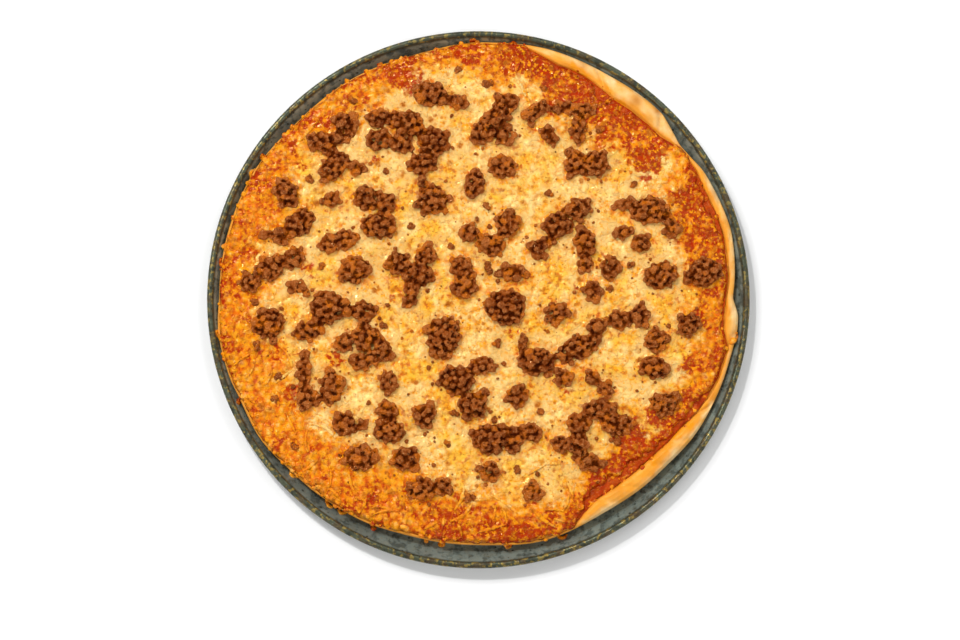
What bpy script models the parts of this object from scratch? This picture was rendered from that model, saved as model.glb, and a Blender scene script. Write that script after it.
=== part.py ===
"""Pan pizza with ground-meat clumps, baked in its shallow round steel pan.

The pan stands on z = 0 with its centre at the origin, and +X is to the right of the shown view,
whose lower edge is at -Y. Angles run anticlockwise from +X, in degrees. Lengths are in metres.
"""

import math
import random

import bmesh
import bpy
import numpy as np
from mathutils import Matrix, Vector, noise
from mathutils.bvhtree import BVHTree

MM = 0.001
TOUCH_GAP = 0.3 * MM
SHARP_ANGLE = 40

# Pan: pressed sheet with a flat floor, a short curved wall and a rolled bead at its rim
PAN_RADIUS = 178 * MM
PAN_SHEET = 1.2 * MM
PAN_WALL_START = 162 * MM
PAN_WALL_END = 173.8 * MM
PAN_WALL_RISE = 9.5 * MM
PAN_WALL_CURVE = 1.8
PAN_WALL_STEPS = 4
BEAD_RADIUS = 2.05 * MM
BEAD_HEIGHT = 11 * MM
BEAD_FIRST, BEAD_LAST, BEAD_STEPS = -140, 190, 7
PAN_SECTORS = 72
SLOPE_STEP = 0.01 * MM

# Crust: a thick slab, with a rim that puffs up where no topping covers it
CRUST_BOTTOM = PAN_SHEET + TOUCH_GAP
CRUST_TOP = 9.8 * MM
CRUST_WALL_GAP = 0.45 * MM
CRUST_FOOT_INSET = 1 * MM
CRUST_UNDERCUT = 0.7 * MM
RIM_DROP, RIM_CLEARANCE = 1.2 * MM, 1.1 * MM
RIM_PUFF = 0.46
RIM_ROUNDNESS = 0.8
RIM_RIPPLE, RIM_RIPPLE_TURNS, RIM_RIPPLE_WIDTH = 0.14, 7, 9 * MM
RIM_ARC_STEPS, RIM_ARC_START = 5, 0.35
TOPPING_GAP = 0.4 * MM

# Sauce and cheese layers, both running through the pizza
SAUCE_BOTTOM = CRUST_TOP + TOUCH_GAP
SAUCE_TOP = SAUCE_BOTTOM + 1.1 * MM
SAUCE_INSET = 0.8 * MM
SAUCE_EDGE = 0.35 * MM
CHEESE_BOTTOM = SAUCE_TOP + TOUCH_GAP
CHEESE_TOP = CHEESE_BOTTOM + 2.6 * MM
CHEESE_RELIEF = 0.7 * MM
CHEESE_BROAD, CHEESE_FINE, CHEESE_FINE_SHARE = 34 * MM, 15 * MM, 0.25
CHEESE_FINE_OFFSET = 50 * MM
CHEESE_FOOT_INSET = 0.5 * MM
# The rounded edge: (how far in from the edge, how far below the top)
CHEESE_EDGE = ((0, 1.6 * MM), (1.2 * MM, 0.6 * MM))
FINE_SECTORS = 96
CHEESE_RINGS = (
    (0.95, 96), (0.88, 96), (0.80, 96), (0.72, 48), (0.64, 48), (0.56, 48), (0.48, 48),
    (0.40, 48), (0.32, 24), (0.24, 24), (0.16, 24), (0.08, 24),
)

# Meat: clumps of cooked ground meat, each a heap of rounded lobes
CLUMP_HEIGHT = 0.43
CLUMP_LOWEST, CLUMP_HIGHEST = 4.2 * MM, 7.6 * MM
CLUMP_JOIN = 2.2 * MM
LOBE_SPREAD = 1.05
CLUMP_VOXEL = 1.1 * MM
CLUMP_BUMP, CLUMP_BUMP_SIZE = 1.0 * MM, 5.0 * MM
CLUMP_TRIANGLES = 26, 22  # for each lobe, and for each clump besides
CLUMP_FLATTEN = 3.0  # degrees between facets of the underside that are made one
LOBE_LIFT, LOBE_HALF_HEIGHT = 0.1, 0.9  # shares of the lobe's height
BRIDGE_RADIUS, BRIDGE_LIFT = 3 * MM, 0.4 * MM
OUTLINE_POINTS = 48
# The cutter follows the cheese's top, and reaches deeper and further out than the cheese
CUTTER_BOTTOM, CUTTER_SPREAD = -20 * MM, 6 * MM

# How far the edge of the crust lies from the centre: (angle, millimetres)
CRUST_OUTLINE = (
    (0, 167.0), (7, 170.0), (15, 172.2), (28, 171.2), (37, 167.4), (46, 172.6), (60, 171.8),
    (75, 172.4), (90, 171.0), (104, 168.0), (120, 168.5), (135, 167.5), (152, 170.4),
    (165, 170.5), (180, 170.2), (187, 172.3), (197, 171.4), (204, 169.6), (212, 170.4),
    (225, 167.0), (240, 165.5), (255, 162.8), (270, 162.6), (285, 165.4), (300, 163.6),
    (315, 165.0), (330, 168.4), (345, 169.5), (355, 171.6),
)
# How wide the bare rim of the crust shows outside the toppings: (angle, millimetres)
BARE_RIM = (
    (1, 3.2), (8, 4.6), (17, 6.0), (28, 6.2), (32, 1.8), (39, 1.8), (43, 12.0), (58, 12.6),
    (62, 8.6), (72, 8.2), (80, 2.4), (90, 1.6), (100, 2.0), (120, 2.4), (135, 1.6), (294, 1.6),
    (298, 10.0), (310, 11.0), (326, 10.5), (334, 6.0), (340, 2.8), (349, 3.0), (353, 9.0),
    (357, 8.6),
)
# How wide bare sauce shows between the cheese and the rim: (angle, millimetres)
BARE_SAUCE = (
    (10, 0), (18, 6.5), (27, 5.5), (31, 0), (40, 0), (46, 8.0), (58, 8.0), (70, 5.0), (78, 8.0),
    (86, 8.5), (93, 0.5), (98, 2.0), (108, 6.5), (118, 1.0), (125, 4.0), (135, 5.0), (140, 0),
    (292, 0), (300, 8.0), (315, 13.0), (330, 10.0), (338, 0),
)
# Folds and creases that pinch the puffed rim: (angle, half-width in degrees, share taken off)
RIM_CREASES = ((43, 3, 0.45), (61, 3, 0.5), (85, 3, 0.4), (312, 4, 0.25), (334, 4, 0.55), (350, 3, 0.4))

# Meat lobes where they lie: x, y, length and width in millimetres, and turn in degrees.
# Lobes closer than CLUMP_JOIN make one clump.
LOBES = (
    # Upper left
    (-87, 116, 17, 12, -35), (-103, 103, 20, 13, -15), (-91, 105, 13, 9, -10),
    (-95, 86, 24, 16, 45), (-80, 86, 10, 8, 0), (-126, 69, 21, 14, -60),
    (-66, 119, 17, 12, 0), (-47, 116, 22, 17, -20), (-66, 104, 18, 13, 0),
    (-51, 102, 16, 14, 0), (-30, 103, 20, 17, 0), (-37, 88, 21, 13, 5),
    (-32, 135, 21, 17, 0), (-13, 130, 16, 9, -15), (-96, 64, 13, 11, 0),
    (-73, 66, 17, 15, 0), (-61, 62, 15, 14, 0), (-66, 47, 22, 17, 0),
    (-31, 64, 21, 20, 0), (-37, 77, 9, 7, 90), (-117, 49, 20, 15, 50),
    (-129, 40, 13, 10, 90), (-139, 41, 9, 6, 0), (-92, 37, 28, 13, 8),
    # Upper middle and right
    (20, 129, 14, 13, 0), (12, 119, 20, 14, 30), (3, 109, 20, 14, 40),
    (18, 107, 14, 12, 0), (34, 120, 13, 10, 90), (41, 126, 11, 9, 0),
    (55, 126, 14, 10, 0), (70, 124, 16, 10, 0), (66, 111, 20, 11, 90),
    (47, 107, 15, 10, -60), (63, 89, 19, 12, 90), (77, 88, 18, 17, 0),
    (16, 87, 18, 15, 0), (-3, 75, 22, 13, 80), (53, 48, 18, 16, 0),
    (65, 58, 19, 14, 20), (94, 42, 15, 9, 15), (95, 61, 12, 8, 0),
    (113, 57, 26, 17, 0), (126, 46, 16, 9, 90),
    # Middle
    (-6, 43, 14, 11, 90), (8, 34, 20, 14, -20), (19, 48, 18, 16, 90),
    (-53, 22, 16, 16, 0), (-40, 15, 22, 15, 0), (-44, 1, 17, 10, 90),
    (-33, 28, 14, 13, 90), (-11, 20, 16, 14, 0), (-9, 6, 17, 15, 0),
    (22, 16, 16, 11, 0), (18, -7, 26, 24, 0), (-23, -27, 27, 22, 90),
    (51, -10, 18, 13, 0), (29, -30, 11, 8, 90), (38, -43, 24, 17, 0),
    (39, 32, 12, 12, 0), (46, 37, 9, 7, 0), (-14, -55, 24, 18, 0), (3, -45, 18, 11, 0),
    # Left
    (-81, 18, 18, 18, 0), (-122, 25, 18, 13, 15), (-137, 19, 16, 15, 0),
    (-150, 10, 15, 14, 0), (-119, 7, 15, 8, -20), (-137, -18, 21, 19, 0),
    (-99, -7, 22, 22, 0), (-112, -23, 18, 13, 0), (-88, -9, 12, 12, 0),
    (-75, -10, 16, 13, 20), (-90, -32, 12, 11, 0), (-73, -27, 20, 17, 0),
    (-76, -43, 18, 12, 0), (-64, -36, 16, 14, 0), (-114, -49, 22, 11, 85),
    # Right
    (70, 36, 16, 16, 0), (70, 23, 14, 11, 90), (86, 19, 18, 13, 90),
    (75, 4, 15, 11, 90), (107, 35, 13, 13, 0), (119, 14, 21, 17, 0),
    (148, 16, 22, 19, 0), (138, 14, 12, 10, 90), (106, -13, 16, 13, 90),
    (91, -16, 18, 12, 0), (77, -20, 13, 11, 90), (65, -34, 30, 15, 20),
    (137, -19, 16, 15, 90), (116, -29, 16, 15, 90), (115, -47, 20, 15, 0),
    # Below
    (55, -54, 13, 12, 0), (75, -54, 11, 10, 0), (84, -61, 11, 10, 0),
    (-3, -72, 18, 18, 0), (8, -94, 24, 19, 0), (22, -95, 20, 11, 90),
    (34, -90, 16, 12, 0), (26, -65, 16, 14, 90), (7, -115, 15, 12, 0),
    (-38, -127, 19, 15, 0), (-24, -125, 13, 12, 0), (36, -128, 13, 12, 0),
    (-96, -60, 22, 16, 90), (-112, -67, 16, 13, 0), (-87, -84, 16, 15, 0),
    (-76, -84, 9, 8, 0), (-77, -106, 22, 16, 0), (-59, -57, 16, 12, 90),
    (-59, -75, 13, 12, 90), (-58, -89, 20, 16, 0), (-35, -79, 16, 15, 90),
    (-47, -106, 20, 15, 0), (80, -74, 23, 14, 0), (65, -84, 17, 13, 0),
    (90, -84, 22, 14, 0), (55, -97, 15, 12, 0), (65, -98, 18, 12, 90),
    (72, -109, 16, 14, 0), (121, -70, 18, 14, 0),
)
# Single crumbs of meat that are stuck in the cheese: x, y and width in millimetres
CRUMBS = (
    (5, 141, 9), (43, 138, 8), (-145, -33, 8), (-130, -53, 8), (-18, 33, 7), (-7, -132, 8),
    (-111, 78, 6), (-83, 130, 7), (-103, 20, 6), (-44, 47, 7), (5, 60, 7), (46, 68, 7),
    (80, 112, 8), (102, 74, 7), (-20, -96, 6), (41, -76, 7), (25, -114, 6), (-146, -4, 7),
    (-134, -68, 6), (12, -30, 8), (-14, 152, 7), (90, -95, 7), (-120, -98, 7), (7, 18, 9),
    (-17, -77, 6), (10, -81, 6), (86, 5, 6), (-62, -19, 6), (-61, 84, 6), (100, 21, 7),
)
CRUMB_SECTORS = 7
CRUMB_SEED = 5
CRUMB_SUNK = 0.8 * MM
CRUMB_HEIGHT = 0.3, 0.42  # least and most, as shares of its width
CRUMB_RINGS = ((1.0, 0.2), (0.66, 0.75))  # shares of its width and of its height
CRUMB_UNEVEN = 0.84, 1.1


def keyed(keys, degrees):
    """The value at this angle on the smooth closed curve through (angle, value) keys."""
    degrees %= 360
    ring = [(keys[-1][0] - 360, keys[-1][1])] + list(keys) + [(keys[0][0] + 360, keys[0][1])]
    for (start, low), (end, high) in zip(ring, ring[1:]):
        if start <= degrees <= end:
            share = (degrees - start) / (end - start)
            return low + (high - low) * share * share * (3 - 2 * share)
    raise ValueError(f"no key round {degrees} degrees")


def crust_radius(degrees):
    return keyed(CRUST_OUTLINE, degrees) * MM


def rim_width(degrees):
    return keyed(BARE_RIM, degrees) * MM


def topping_radius(degrees):
    """Where the toppings end and the rim of the crust begins to rise."""
    return crust_radius(degrees) - rim_width(degrees) - TOPPING_GAP


def cheese_radius(degrees):
    return topping_radius(degrees) - keyed(BARE_SAUCE, degrees) * MM


def sauce_radius(degrees):
    """The sauce reaches the rim where it shows, and elsewhere ends just under the cheese."""
    showing = min(keyed(BARE_SAUCE, degrees) / 2, 1)
    return topping_radius(degrees) - SAUCE_INSET * (1 - showing)


def crease(degrees):
    """The share of the rim's height that is left by the folds near this angle."""
    left = 1.0
    for middle, half_width, depth in RIM_CREASES:
        away = (degrees - middle + 180) % 360 - 180
        left *= 1 - depth * math.exp(-((away / half_width) ** 2))
    return left


def polar(radius, degrees, height):
    angle = math.radians(degrees)
    return Vector((radius * math.cos(angle), radius * math.sin(angle), height))


def link(name, mesh, material):
    """Adds the mesh to the scene as one named object with one material."""
    made = bpy.data.objects.new(name, mesh)
    if material:
        mesh.materials.append(material)
    bpy.context.scene.collection.objects.link(made)
    return made


def principled(name, colour, roughness, metallic=0.0):
    material = bpy.data.materials.new(name)
    material.use_nodes = True
    shader = material.node_tree.nodes["Principled BSDF"]
    shader.inputs["Base Color"].default_value = (*colour, 1)
    shader.inputs["Roughness"].default_value = roughness
    shader.inputs["Metallic"].default_value = metallic
    return material


def shell(rings):
    """A closed triangle mesh through rings of points that start and end in a single point.

    Neighbouring rings have the same count of points, or one has twice the other's.
    """
    shape = bmesh.new()
    made = [[shape.verts.new(point) for point in ring] for ring in rings]
    for inner, outer in zip(made, made[1:]):
        few, many = sorted((inner, outer), key=len)
        step = len(many) // len(few)
        for i, here in enumerate(few):
            after = few[(i + 1) % len(few)]
            row = [many[(i * step + j) % len(many)] for j in range(step + 1)]
            if len(few) == 1:
                for j in range(step):
                    shape.faces.new((here, row[j], row[j + 1 if j + 1 < len(row) else 0]))
                continue
            shape.faces.new((here, row[0], row[1]))
            shape.faces.new((here, row[1], after))
            if step == 2:
                shape.faces.new((after, row[1], row[2]))
    bmesh.ops.recalc_face_normals(shape, faces=shape.faces)
    if shape.calc_volume(signed=True) < 0:
        bmesh.ops.reverse_faces(shape, faces=shape.faces)
    mesh = bpy.data.meshes.new("shell")
    shape.to_mesh(mesh)
    shape.free()
    mesh.shade_smooth()
    mesh.set_sharp_from_angle(angle=math.radians(SHARP_ANGLE))
    return mesh


def station(count, place):
    """One ring of points, from place(degrees) giving a radius and a height."""
    angles = [360 * i / count for i in range(count)]
    return [polar(place(a)[0], a, place(a)[1]) for a in angles]


def wall_height(radius):
    """The inner face of the pan at this radius."""
    rise = max(radius - PAN_WALL_START, 0) / (PAN_WALL_END - PAN_WALL_START)
    return PAN_SHEET + PAN_WALL_RISE * rise**PAN_WALL_CURVE


def make_pan(material):
    """The floor, the wall and the rolled bead, turned from one closed profile."""
    inner, outer = [], []
    for step in range(PAN_WALL_STEPS):
        radius = PAN_WALL_START + (PAN_WALL_END - PAN_WALL_START) * step / PAN_WALL_STEPS
        height = wall_height(radius)
        rise = wall_height(radius + SLOPE_STEP) - wall_height(radius - SLOPE_STEP)
        slope = rise / (2 * SLOPE_STEP)
        along = math.hypot(slope, 1)
        inner.append((radius, height))
        outer.append((radius + PAN_SHEET * slope / along, height - PAN_SHEET / along))
    outer[0] = (PAN_WALL_START, 0)
    bead_centre = PAN_RADIUS - BEAD_RADIUS
    bead = []
    for step in range(BEAD_STEPS + 1):
        angle = math.radians(BEAD_FIRST + (BEAD_LAST - BEAD_FIRST) * step / BEAD_STEPS)
        bead.append(
            (bead_centre + BEAD_RADIUS * math.cos(angle), BEAD_HEIGHT + BEAD_RADIUS * math.sin(angle))
        )
    profile = outer + bead + inner[::-1]
    rings = [station(PAN_SECTORS, lambda a, at=at: at) for at in profile]
    return link("pan", shell([[Vector((0, 0, 0))], *rings, [Vector((0, 0, PAN_SHEET))]]), material)


def crust_rings():
    """Rings from the middle of the underside, up over the rim and in to the middle of the top."""

    def under(share):
        def place(degrees):
            first = PAN_WALL_START - CRUST_FOOT_INSET
            last = crust_radius(degrees) - CRUST_UNDERCUT
            radius = first + (last - first) * share
            return radius, wall_height(radius) + TOUCH_GAP + (CRUST_WALL_GAP - TOUCH_GAP) * share

        return place

    def over(share):
        def place(degrees):
            angle = math.pi * share
            outer, width = crust_radius(degrees), rim_width(degrees)
            middle, half = outer - width / 2, width / 2
            start = max(CRUST_TOP - RIM_DROP, wall_height(outer) + RIM_CLEARANCE)
            base = CRUST_TOP + (start - CRUST_TOP) * (1 + math.cos(angle)) / 2
            ripple = noise.noise(polar(RIM_RIPPLE_TURNS, degrees, width / RIM_RIPPLE_WIDTH))
            puff = RIM_PUFF * width * crease(degrees) * (1 + RIM_RIPPLE * ripple)
            return middle + half * math.cos(angle), base + puff * math.sin(angle) ** RIM_ROUNDNESS

        return place

    rings = [[Vector((0, 0, CRUST_BOTTOM))]]
    rings += [station(FINE_SECTORS, under(share)) for share in (0, 0.5, 1)]
    steps = RIM_ARC_STEPS + RIM_ARC_START
    shares = [(step + RIM_ARC_START) / steps for step in range(RIM_ARC_STEPS)]
    rings += [station(FINE_SECTORS, over(share)) for share in shares]
    rings += [station(FINE_SECTORS, over(1)), [Vector((0, 0, CRUST_TOP))]]
    return rings


def sauce_rings():
    return [
        [Vector((0, 0, SAUCE_BOTTOM))],
        station(FINE_SECTORS, lambda a: (sauce_radius(a) - SAUCE_EDGE, SAUCE_BOTTOM)),
        station(FINE_SECTORS, lambda a: (sauce_radius(a), (SAUCE_BOTTOM + SAUCE_TOP) / 2)),
        station(FINE_SECTORS, lambda a: (sauce_radius(a) - SAUCE_EDGE, SAUCE_TOP)),
        [Vector((0, 0, SAUCE_TOP))],
    ]


def cheese_relief(point):
    """Low waves of melted cheese, in metres above the mean top."""
    broad = noise.noise(Vector((point.x, point.y, 0)) / CHEESE_BROAD)
    fine = noise.noise(Vector((point.x, point.y, CHEESE_FINE_OFFSET)) / CHEESE_FINE)
    return CHEESE_RELIEF * (broad + CHEESE_FINE_SHARE * fine)


def cheese_rings(lift=0.0, bottom=CHEESE_BOTTOM, spread=0.0):
    """The cheese, or the same form lifted, deepened and spread, to cut other pieces to it."""

    def edge(inward, height):
        return lambda a: (cheese_radius(a) - inward + spread, height)

    rings = [[Vector((0, 0, bottom))], station(FINE_SECTORS, edge(CHEESE_FOOT_INSET, bottom))]
    for inward, below in CHEESE_EDGE:
        rings.append(station(FINE_SECTORS, edge(inward, CHEESE_TOP - below + lift)))
    for share, count in CHEESE_RINGS:
        ring = station(count, lambda a, share=share: (cheese_radius(a) * share, 0))
        for point in ring:
            point.z = CHEESE_TOP + cheese_relief(point) + lift
        rings.append(ring)
    rings.append([Vector((0, 0, CHEESE_TOP + cheese_relief(Vector()) + lift))])
    return rings


def tree_of(mesh):
    return BVHTree.FromPolygons([v.co for v in mesh.vertices], [p.vertices[:] for p in mesh.polygons])


def surface_height(tree, x, y):
    """How high the surface lies at this place."""
    return tree.ray_cast(Vector((x, y, 0.1)), Vector((0, 0, -1)))[0].z


def crumb_mesh(x, y, width, height, tree, draw):
    """One rounded crumb, a little uneven, sunk by a third into the cheese."""
    base = surface_height(tree, x, y)
    rings = [[Vector((x, y, base - CRUMB_SUNK))]]
    for share, level in CRUMB_RINGS:
        ring = []
        for i in range(CRUMB_SECTORS):
            reach = width / 2 * share * draw.uniform(*CRUMB_UNEVEN)
            ring.append(Vector((x, y, 0)) + polar(reach, 360 * i / CRUMB_SECTORS, base + height * level))
        rings.append(ring)
    rings.append([Vector((x, y, base + height))])
    return shell(rings)


def make_cheese(material):
    """The cheese, with the single crumbs fused to it by one Boolean union."""
    cheese = link("cheese", shell(cheese_rings()), material)
    tree = tree_of(cheese.data)
    crumbs = bpy.data.collections.new("crumbs")
    draw = random.Random(CRUMB_SEED)
    for x, y, width in CRUMBS:
        height = draw.uniform(*CRUMB_HEIGHT) * width * MM
        mesh = crumb_mesh(x * MM, y * MM, width * MM, height, tree, draw)
        crumbs.objects.link(bpy.data.objects.new("crumb", mesh))
    bpy.context.scene.collection.children.link(crumbs)
    fuse = cheese.modifiers.new("fuse crumbs", "BOOLEAN")
    fuse.operation = "UNION"
    fuse.operand_type = "COLLECTION"
    fuse.collection = crumbs
    fuse.solver = "EXACT"
    fused = bpy.data.meshes.new_from_object(cheese.evaluated_get(bpy.context.evaluated_depsgraph_get()))
    cheese.modifiers.clear()
    cheese.data = fused
    for crumb in list(crumbs.objects):
        bpy.data.objects.remove(crumb)
    bpy.data.collections.remove(crumbs)
    return cheese, tree


def lobe_outline(lobe):
    """Points round the ellipse that a lobe covers, in metres."""
    x, y, length, width, turn = lobe
    angles = np.linspace(0, 2 * math.pi, OUTLINE_POINTS, endpoint=False)
    along, across = length / 2 * np.cos(angles), width / 2 * np.sin(angles)
    turn = math.radians(turn)
    points = np.stack(
        [
            x + along * math.cos(turn) - across * math.sin(turn),
            y + along * math.sin(turn) + across * math.cos(turn),
        ],
        axis=1,
    )
    return points * MM


def lobe_gap(one, other):
    """(distance, midpoint) between the outlines of two lobes, the distance 0 where they overlap."""
    first, second = lobe_outline(one), lobe_outline(other)
    for lobe, points in ((one, second), (other, first)):
        turn = math.radians(lobe[4])
        away = points / MM - np.array(lobe[:2])
        along = away @ np.array((math.cos(turn), math.sin(turn))) / (lobe[2] / 2)
        across = away @ np.array((-math.sin(turn), math.cos(turn))) / (lobe[3] / 2)
        if (np.hypot(along, across) < 1).any():
            return 0.0, None
    spans = np.linalg.norm(first[:, None] - second[None], axis=2)
    i, j = np.unravel_index(spans.argmin(), spans.shape)
    return float(spans.min()), (first[i] + second[j]) / 2


def clump_groups():
    """Lists of lobes that touch or nearly touch, each with the bridges that join them."""
    groups = [[i] for i in range(len(LOBES))]
    bridges = []
    for i, one in enumerate(LOBES):
        for j in range(i + 1, len(LOBES)):
            distance, middle = lobe_gap(one, LOBES[j])
            if distance > CLUMP_JOIN:
                continue
            if middle is not None:
                bridges.append((i, middle))
            home = next(group for group in groups if i in group)
            other = next(group for group in groups if j in group)
            if home is not other:
                home += other
                groups.remove(other)
    return [(sorted(group), [at for i, at in bridges if i in group]) for group in groups]


def lobe_height(lobe):
    return min(max(CLUMP_HEIGHT * lobe[3] * MM, CLUMP_LOWEST), CLUMP_HIGHEST)


def make_clump(number, group, bridges, tree, cutter, material):
    """One clump: its lobes melted together, roughened, thinned out and cut to the cheese."""
    shape = bmesh.new()
    for i in group:
        x, y, length, width, turn = LOBES[i]
        height = lobe_height(LOBES[i])
        half = 0.5 * LOBE_SPREAD * MM
        base = surface_height(tree, x * MM, y * MM)
        place = Matrix.Translation((x * MM, y * MM, base + LOBE_LIFT * height))
        place = place @ Matrix.Rotation(math.radians(turn), 4, "Z")
        place = place @ Matrix.Diagonal((length * half, width * half, LOBE_HALF_HEIGHT * height, 1))
        bmesh.ops.create_icosphere(shape, subdivisions=3, radius=1, matrix=place)
    for middle in bridges:
        base = surface_height(tree, middle[0], middle[1])
        place = Matrix.Translation((middle[0], middle[1], base + BRIDGE_LIFT))
        bmesh.ops.create_icosphere(shape, subdivisions=2, radius=BRIDGE_RADIUS, matrix=place)
    mesh = bpy.data.meshes.new("lobes")
    shape.to_mesh(mesh)
    shape.free()
    clump = link(f"meat_{number:02d}", mesh, material)
    melt = clump.modifiers.new("melt lobes", "REMESH")
    melt.mode = "VOXEL"
    melt.voxel_size = CLUMP_VOXEL
    melted = bpy.data.meshes.new_from_object(clump.evaluated_get(bpy.context.evaluated_depsgraph_get()))
    clump.modifiers.clear()
    for vertex in melted.vertices:
        bump = noise.noise(vertex.co / CLUMP_BUMP_SIZE)
        vertex.co += vertex.normal * CLUMP_BUMP * bump
    clump.data = melted
    wanted = CLUMP_TRIANGLES[0] * len(group) + CLUMP_TRIANGLES[1]
    thin = clump.modifiers.new("thin out", "DECIMATE")
    thin.ratio = wanted / (2 * len(melted.polygons))
    cut = clump.modifiers.new("cut to cheese", "BOOLEAN")
    cut.operation = "DIFFERENCE"
    cut.object = cutter
    cut.solver = "EXACT"
    flatten = clump.modifiers.new("flatten the cut", "DECIMATE")
    flatten.decimate_type = "DISSOLVE"
    flatten.angle_limit = math.radians(CLUMP_FLATTEN)
    return clump


def main():
    for old in list(bpy.data.objects):
        bpy.data.objects.remove(old)
    steel = principled("dark seasoned steel", (0.055, 0.06, 0.058), 0.42, 0.7)
    dough = principled("baked crust", (0.72, 0.42, 0.15), 0.6)
    red = principled("tomato sauce", (0.42, 0.06, 0.012), 0.28)
    melted = principled("melted cheese", (0.86, 0.6, 0.22), 0.38)
    brown = principled("cooked ground meat", (0.17, 0.065, 0.025), 0.45)

    make_pan(steel)
    link("crust", shell(crust_rings()), dough)
    link("sauce", shell(sauce_rings()), red)
    cheese, tree = make_cheese(melted)
    cutter_rings = cheese_rings(TOUCH_GAP, CUTTER_BOTTOM, CUTTER_SPREAD)
    cutter = link("cheese_cutter", shell(cutter_rings), None)
    cutter.hide_render = True
    cutter.display_type = "WIRE"
    for number, (group, bridges) in enumerate(clump_groups(), start=1):
        make_clump(number, group, bridges, tree, cutter, brown)
    bpy.context.view_layer.update()


main()
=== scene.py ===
"""The looks of a pan pizza with ground meat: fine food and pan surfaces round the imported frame.

Lengths are in metres, +Z is up, and the pan stands on z = 0 with its centre at the origin. The
shown view looks down from a little in front, which is -Y. Angles run anticlockwise from +X.
"""

import math
import random
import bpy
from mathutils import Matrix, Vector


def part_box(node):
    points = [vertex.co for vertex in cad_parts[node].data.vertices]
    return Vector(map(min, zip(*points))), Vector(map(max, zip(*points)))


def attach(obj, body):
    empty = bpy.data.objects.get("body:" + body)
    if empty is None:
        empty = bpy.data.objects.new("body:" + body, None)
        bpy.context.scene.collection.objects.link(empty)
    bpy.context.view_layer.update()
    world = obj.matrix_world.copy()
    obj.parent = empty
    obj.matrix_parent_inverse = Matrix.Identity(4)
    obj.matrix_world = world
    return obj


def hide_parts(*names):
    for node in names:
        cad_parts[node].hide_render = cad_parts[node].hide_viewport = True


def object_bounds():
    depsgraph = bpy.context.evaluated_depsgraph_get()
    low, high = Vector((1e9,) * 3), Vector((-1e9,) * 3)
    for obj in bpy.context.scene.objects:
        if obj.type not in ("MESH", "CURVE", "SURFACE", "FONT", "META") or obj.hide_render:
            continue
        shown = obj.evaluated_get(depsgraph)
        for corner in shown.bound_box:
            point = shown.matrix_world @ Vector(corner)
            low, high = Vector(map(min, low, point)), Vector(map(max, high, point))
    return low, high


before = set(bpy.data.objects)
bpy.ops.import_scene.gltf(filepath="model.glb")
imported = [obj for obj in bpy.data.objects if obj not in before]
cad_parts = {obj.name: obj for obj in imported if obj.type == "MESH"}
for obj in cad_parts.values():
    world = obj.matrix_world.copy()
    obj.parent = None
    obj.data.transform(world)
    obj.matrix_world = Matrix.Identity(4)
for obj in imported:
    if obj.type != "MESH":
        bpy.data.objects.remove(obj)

from types import SimpleNamespace

import bmesh
import bpy
import numpy as np
from mathutils import Euler, Matrix, Vector, noise
from mathutils.bvhtree import BVHTree
from mathutils.kdtree import KDTree

bl_info = {
    "name": "Pan pizza",
    "version": (1, 0, 0),
    "blender": (4, 5, 0),
    "location": "3D View > Sidebar > Pizza",
    "description": "Dresses a pan pizza with ground meat, one operator for each kind of piece",
    "category": "Add Mesh",
}

MM = 0.001
MEAT_NODES = sorted(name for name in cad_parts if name.startswith("meat_"))
CAD_LOW, CAD_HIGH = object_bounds()

# Side and cell of the square field that holds heights and masks over the pizza
FIELD_CELL = 0.5 * MM
FIELD_HALF = 180 * MM
FIELD_CELLS = 2 * round(FIELD_HALF / FIELD_CELL) + 1
# Cells across the same square, for what changes slowly
COARSE_CELLS = 60

# Angles round the pizza at which an outline is kept, and at which the frame is read for it
OUTLINE_STEPS = 1440
OUTLINE_READINGS = 96
# From this height, rays look down on the pieces
ABOVE_ALL = 0.1


# Small helpers for numbers and fields


def eased(share):
    """A share from 0 to 1 with a soft start and a soft end."""
    return share * share * (3 - 2 * share)


def smooth_step(low, high, value):
    """0 below low, 1 above high, and a smooth rise between."""
    return eased(np.clip((value - low) / (high - low), 0, 1))


def mixed(low, high, share):
    return low + (high - low) * share


def angles_of(count):
    """Evenly spaced angles once round, in radians."""
    return np.arange(count) * 2 * math.pi / count


def value_noise(x, y, size, seed):
    """Smooth noise from -1 to 1 over the plane, with features of this size."""
    u, v = x / size + seed * 17.31, y / size - seed * 9.73
    i, j = np.floor(u).astype(np.int64), np.floor(v).astype(np.int64)
    fu, fv = eased(u - i), eased(v - j)

    def corner(a, b):
        mixed_bits = (a * 374761393 + b * 668265263 + seed * 1274126177) & 0x7FFFFFFF
        mixed_bits = ((mixed_bits ^ (mixed_bits >> 13)) * 1103515245) & 0x7FFFFFFF
        return ((mixed_bits ^ (mixed_bits >> 16)) & 0xFFFF) / 32767.5 - 1

    low = corner(i, j) * (1 - fu) + corner(i + 1, j) * fu
    high = corner(i, j + 1) * (1 - fu) + corner(i + 1, j + 1) * fu
    return low * (1 - fv) + high * fv


def layered_noise(x, y, size, seed, layers=3):
    """Noise with each layer half the size and half the strength of the one before."""
    total = sum(value_noise(x, y, size / 2**k, seed + k) / 2**k for k in range(layers))
    return total / (2 - 0.5 ** (layers - 1))


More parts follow.
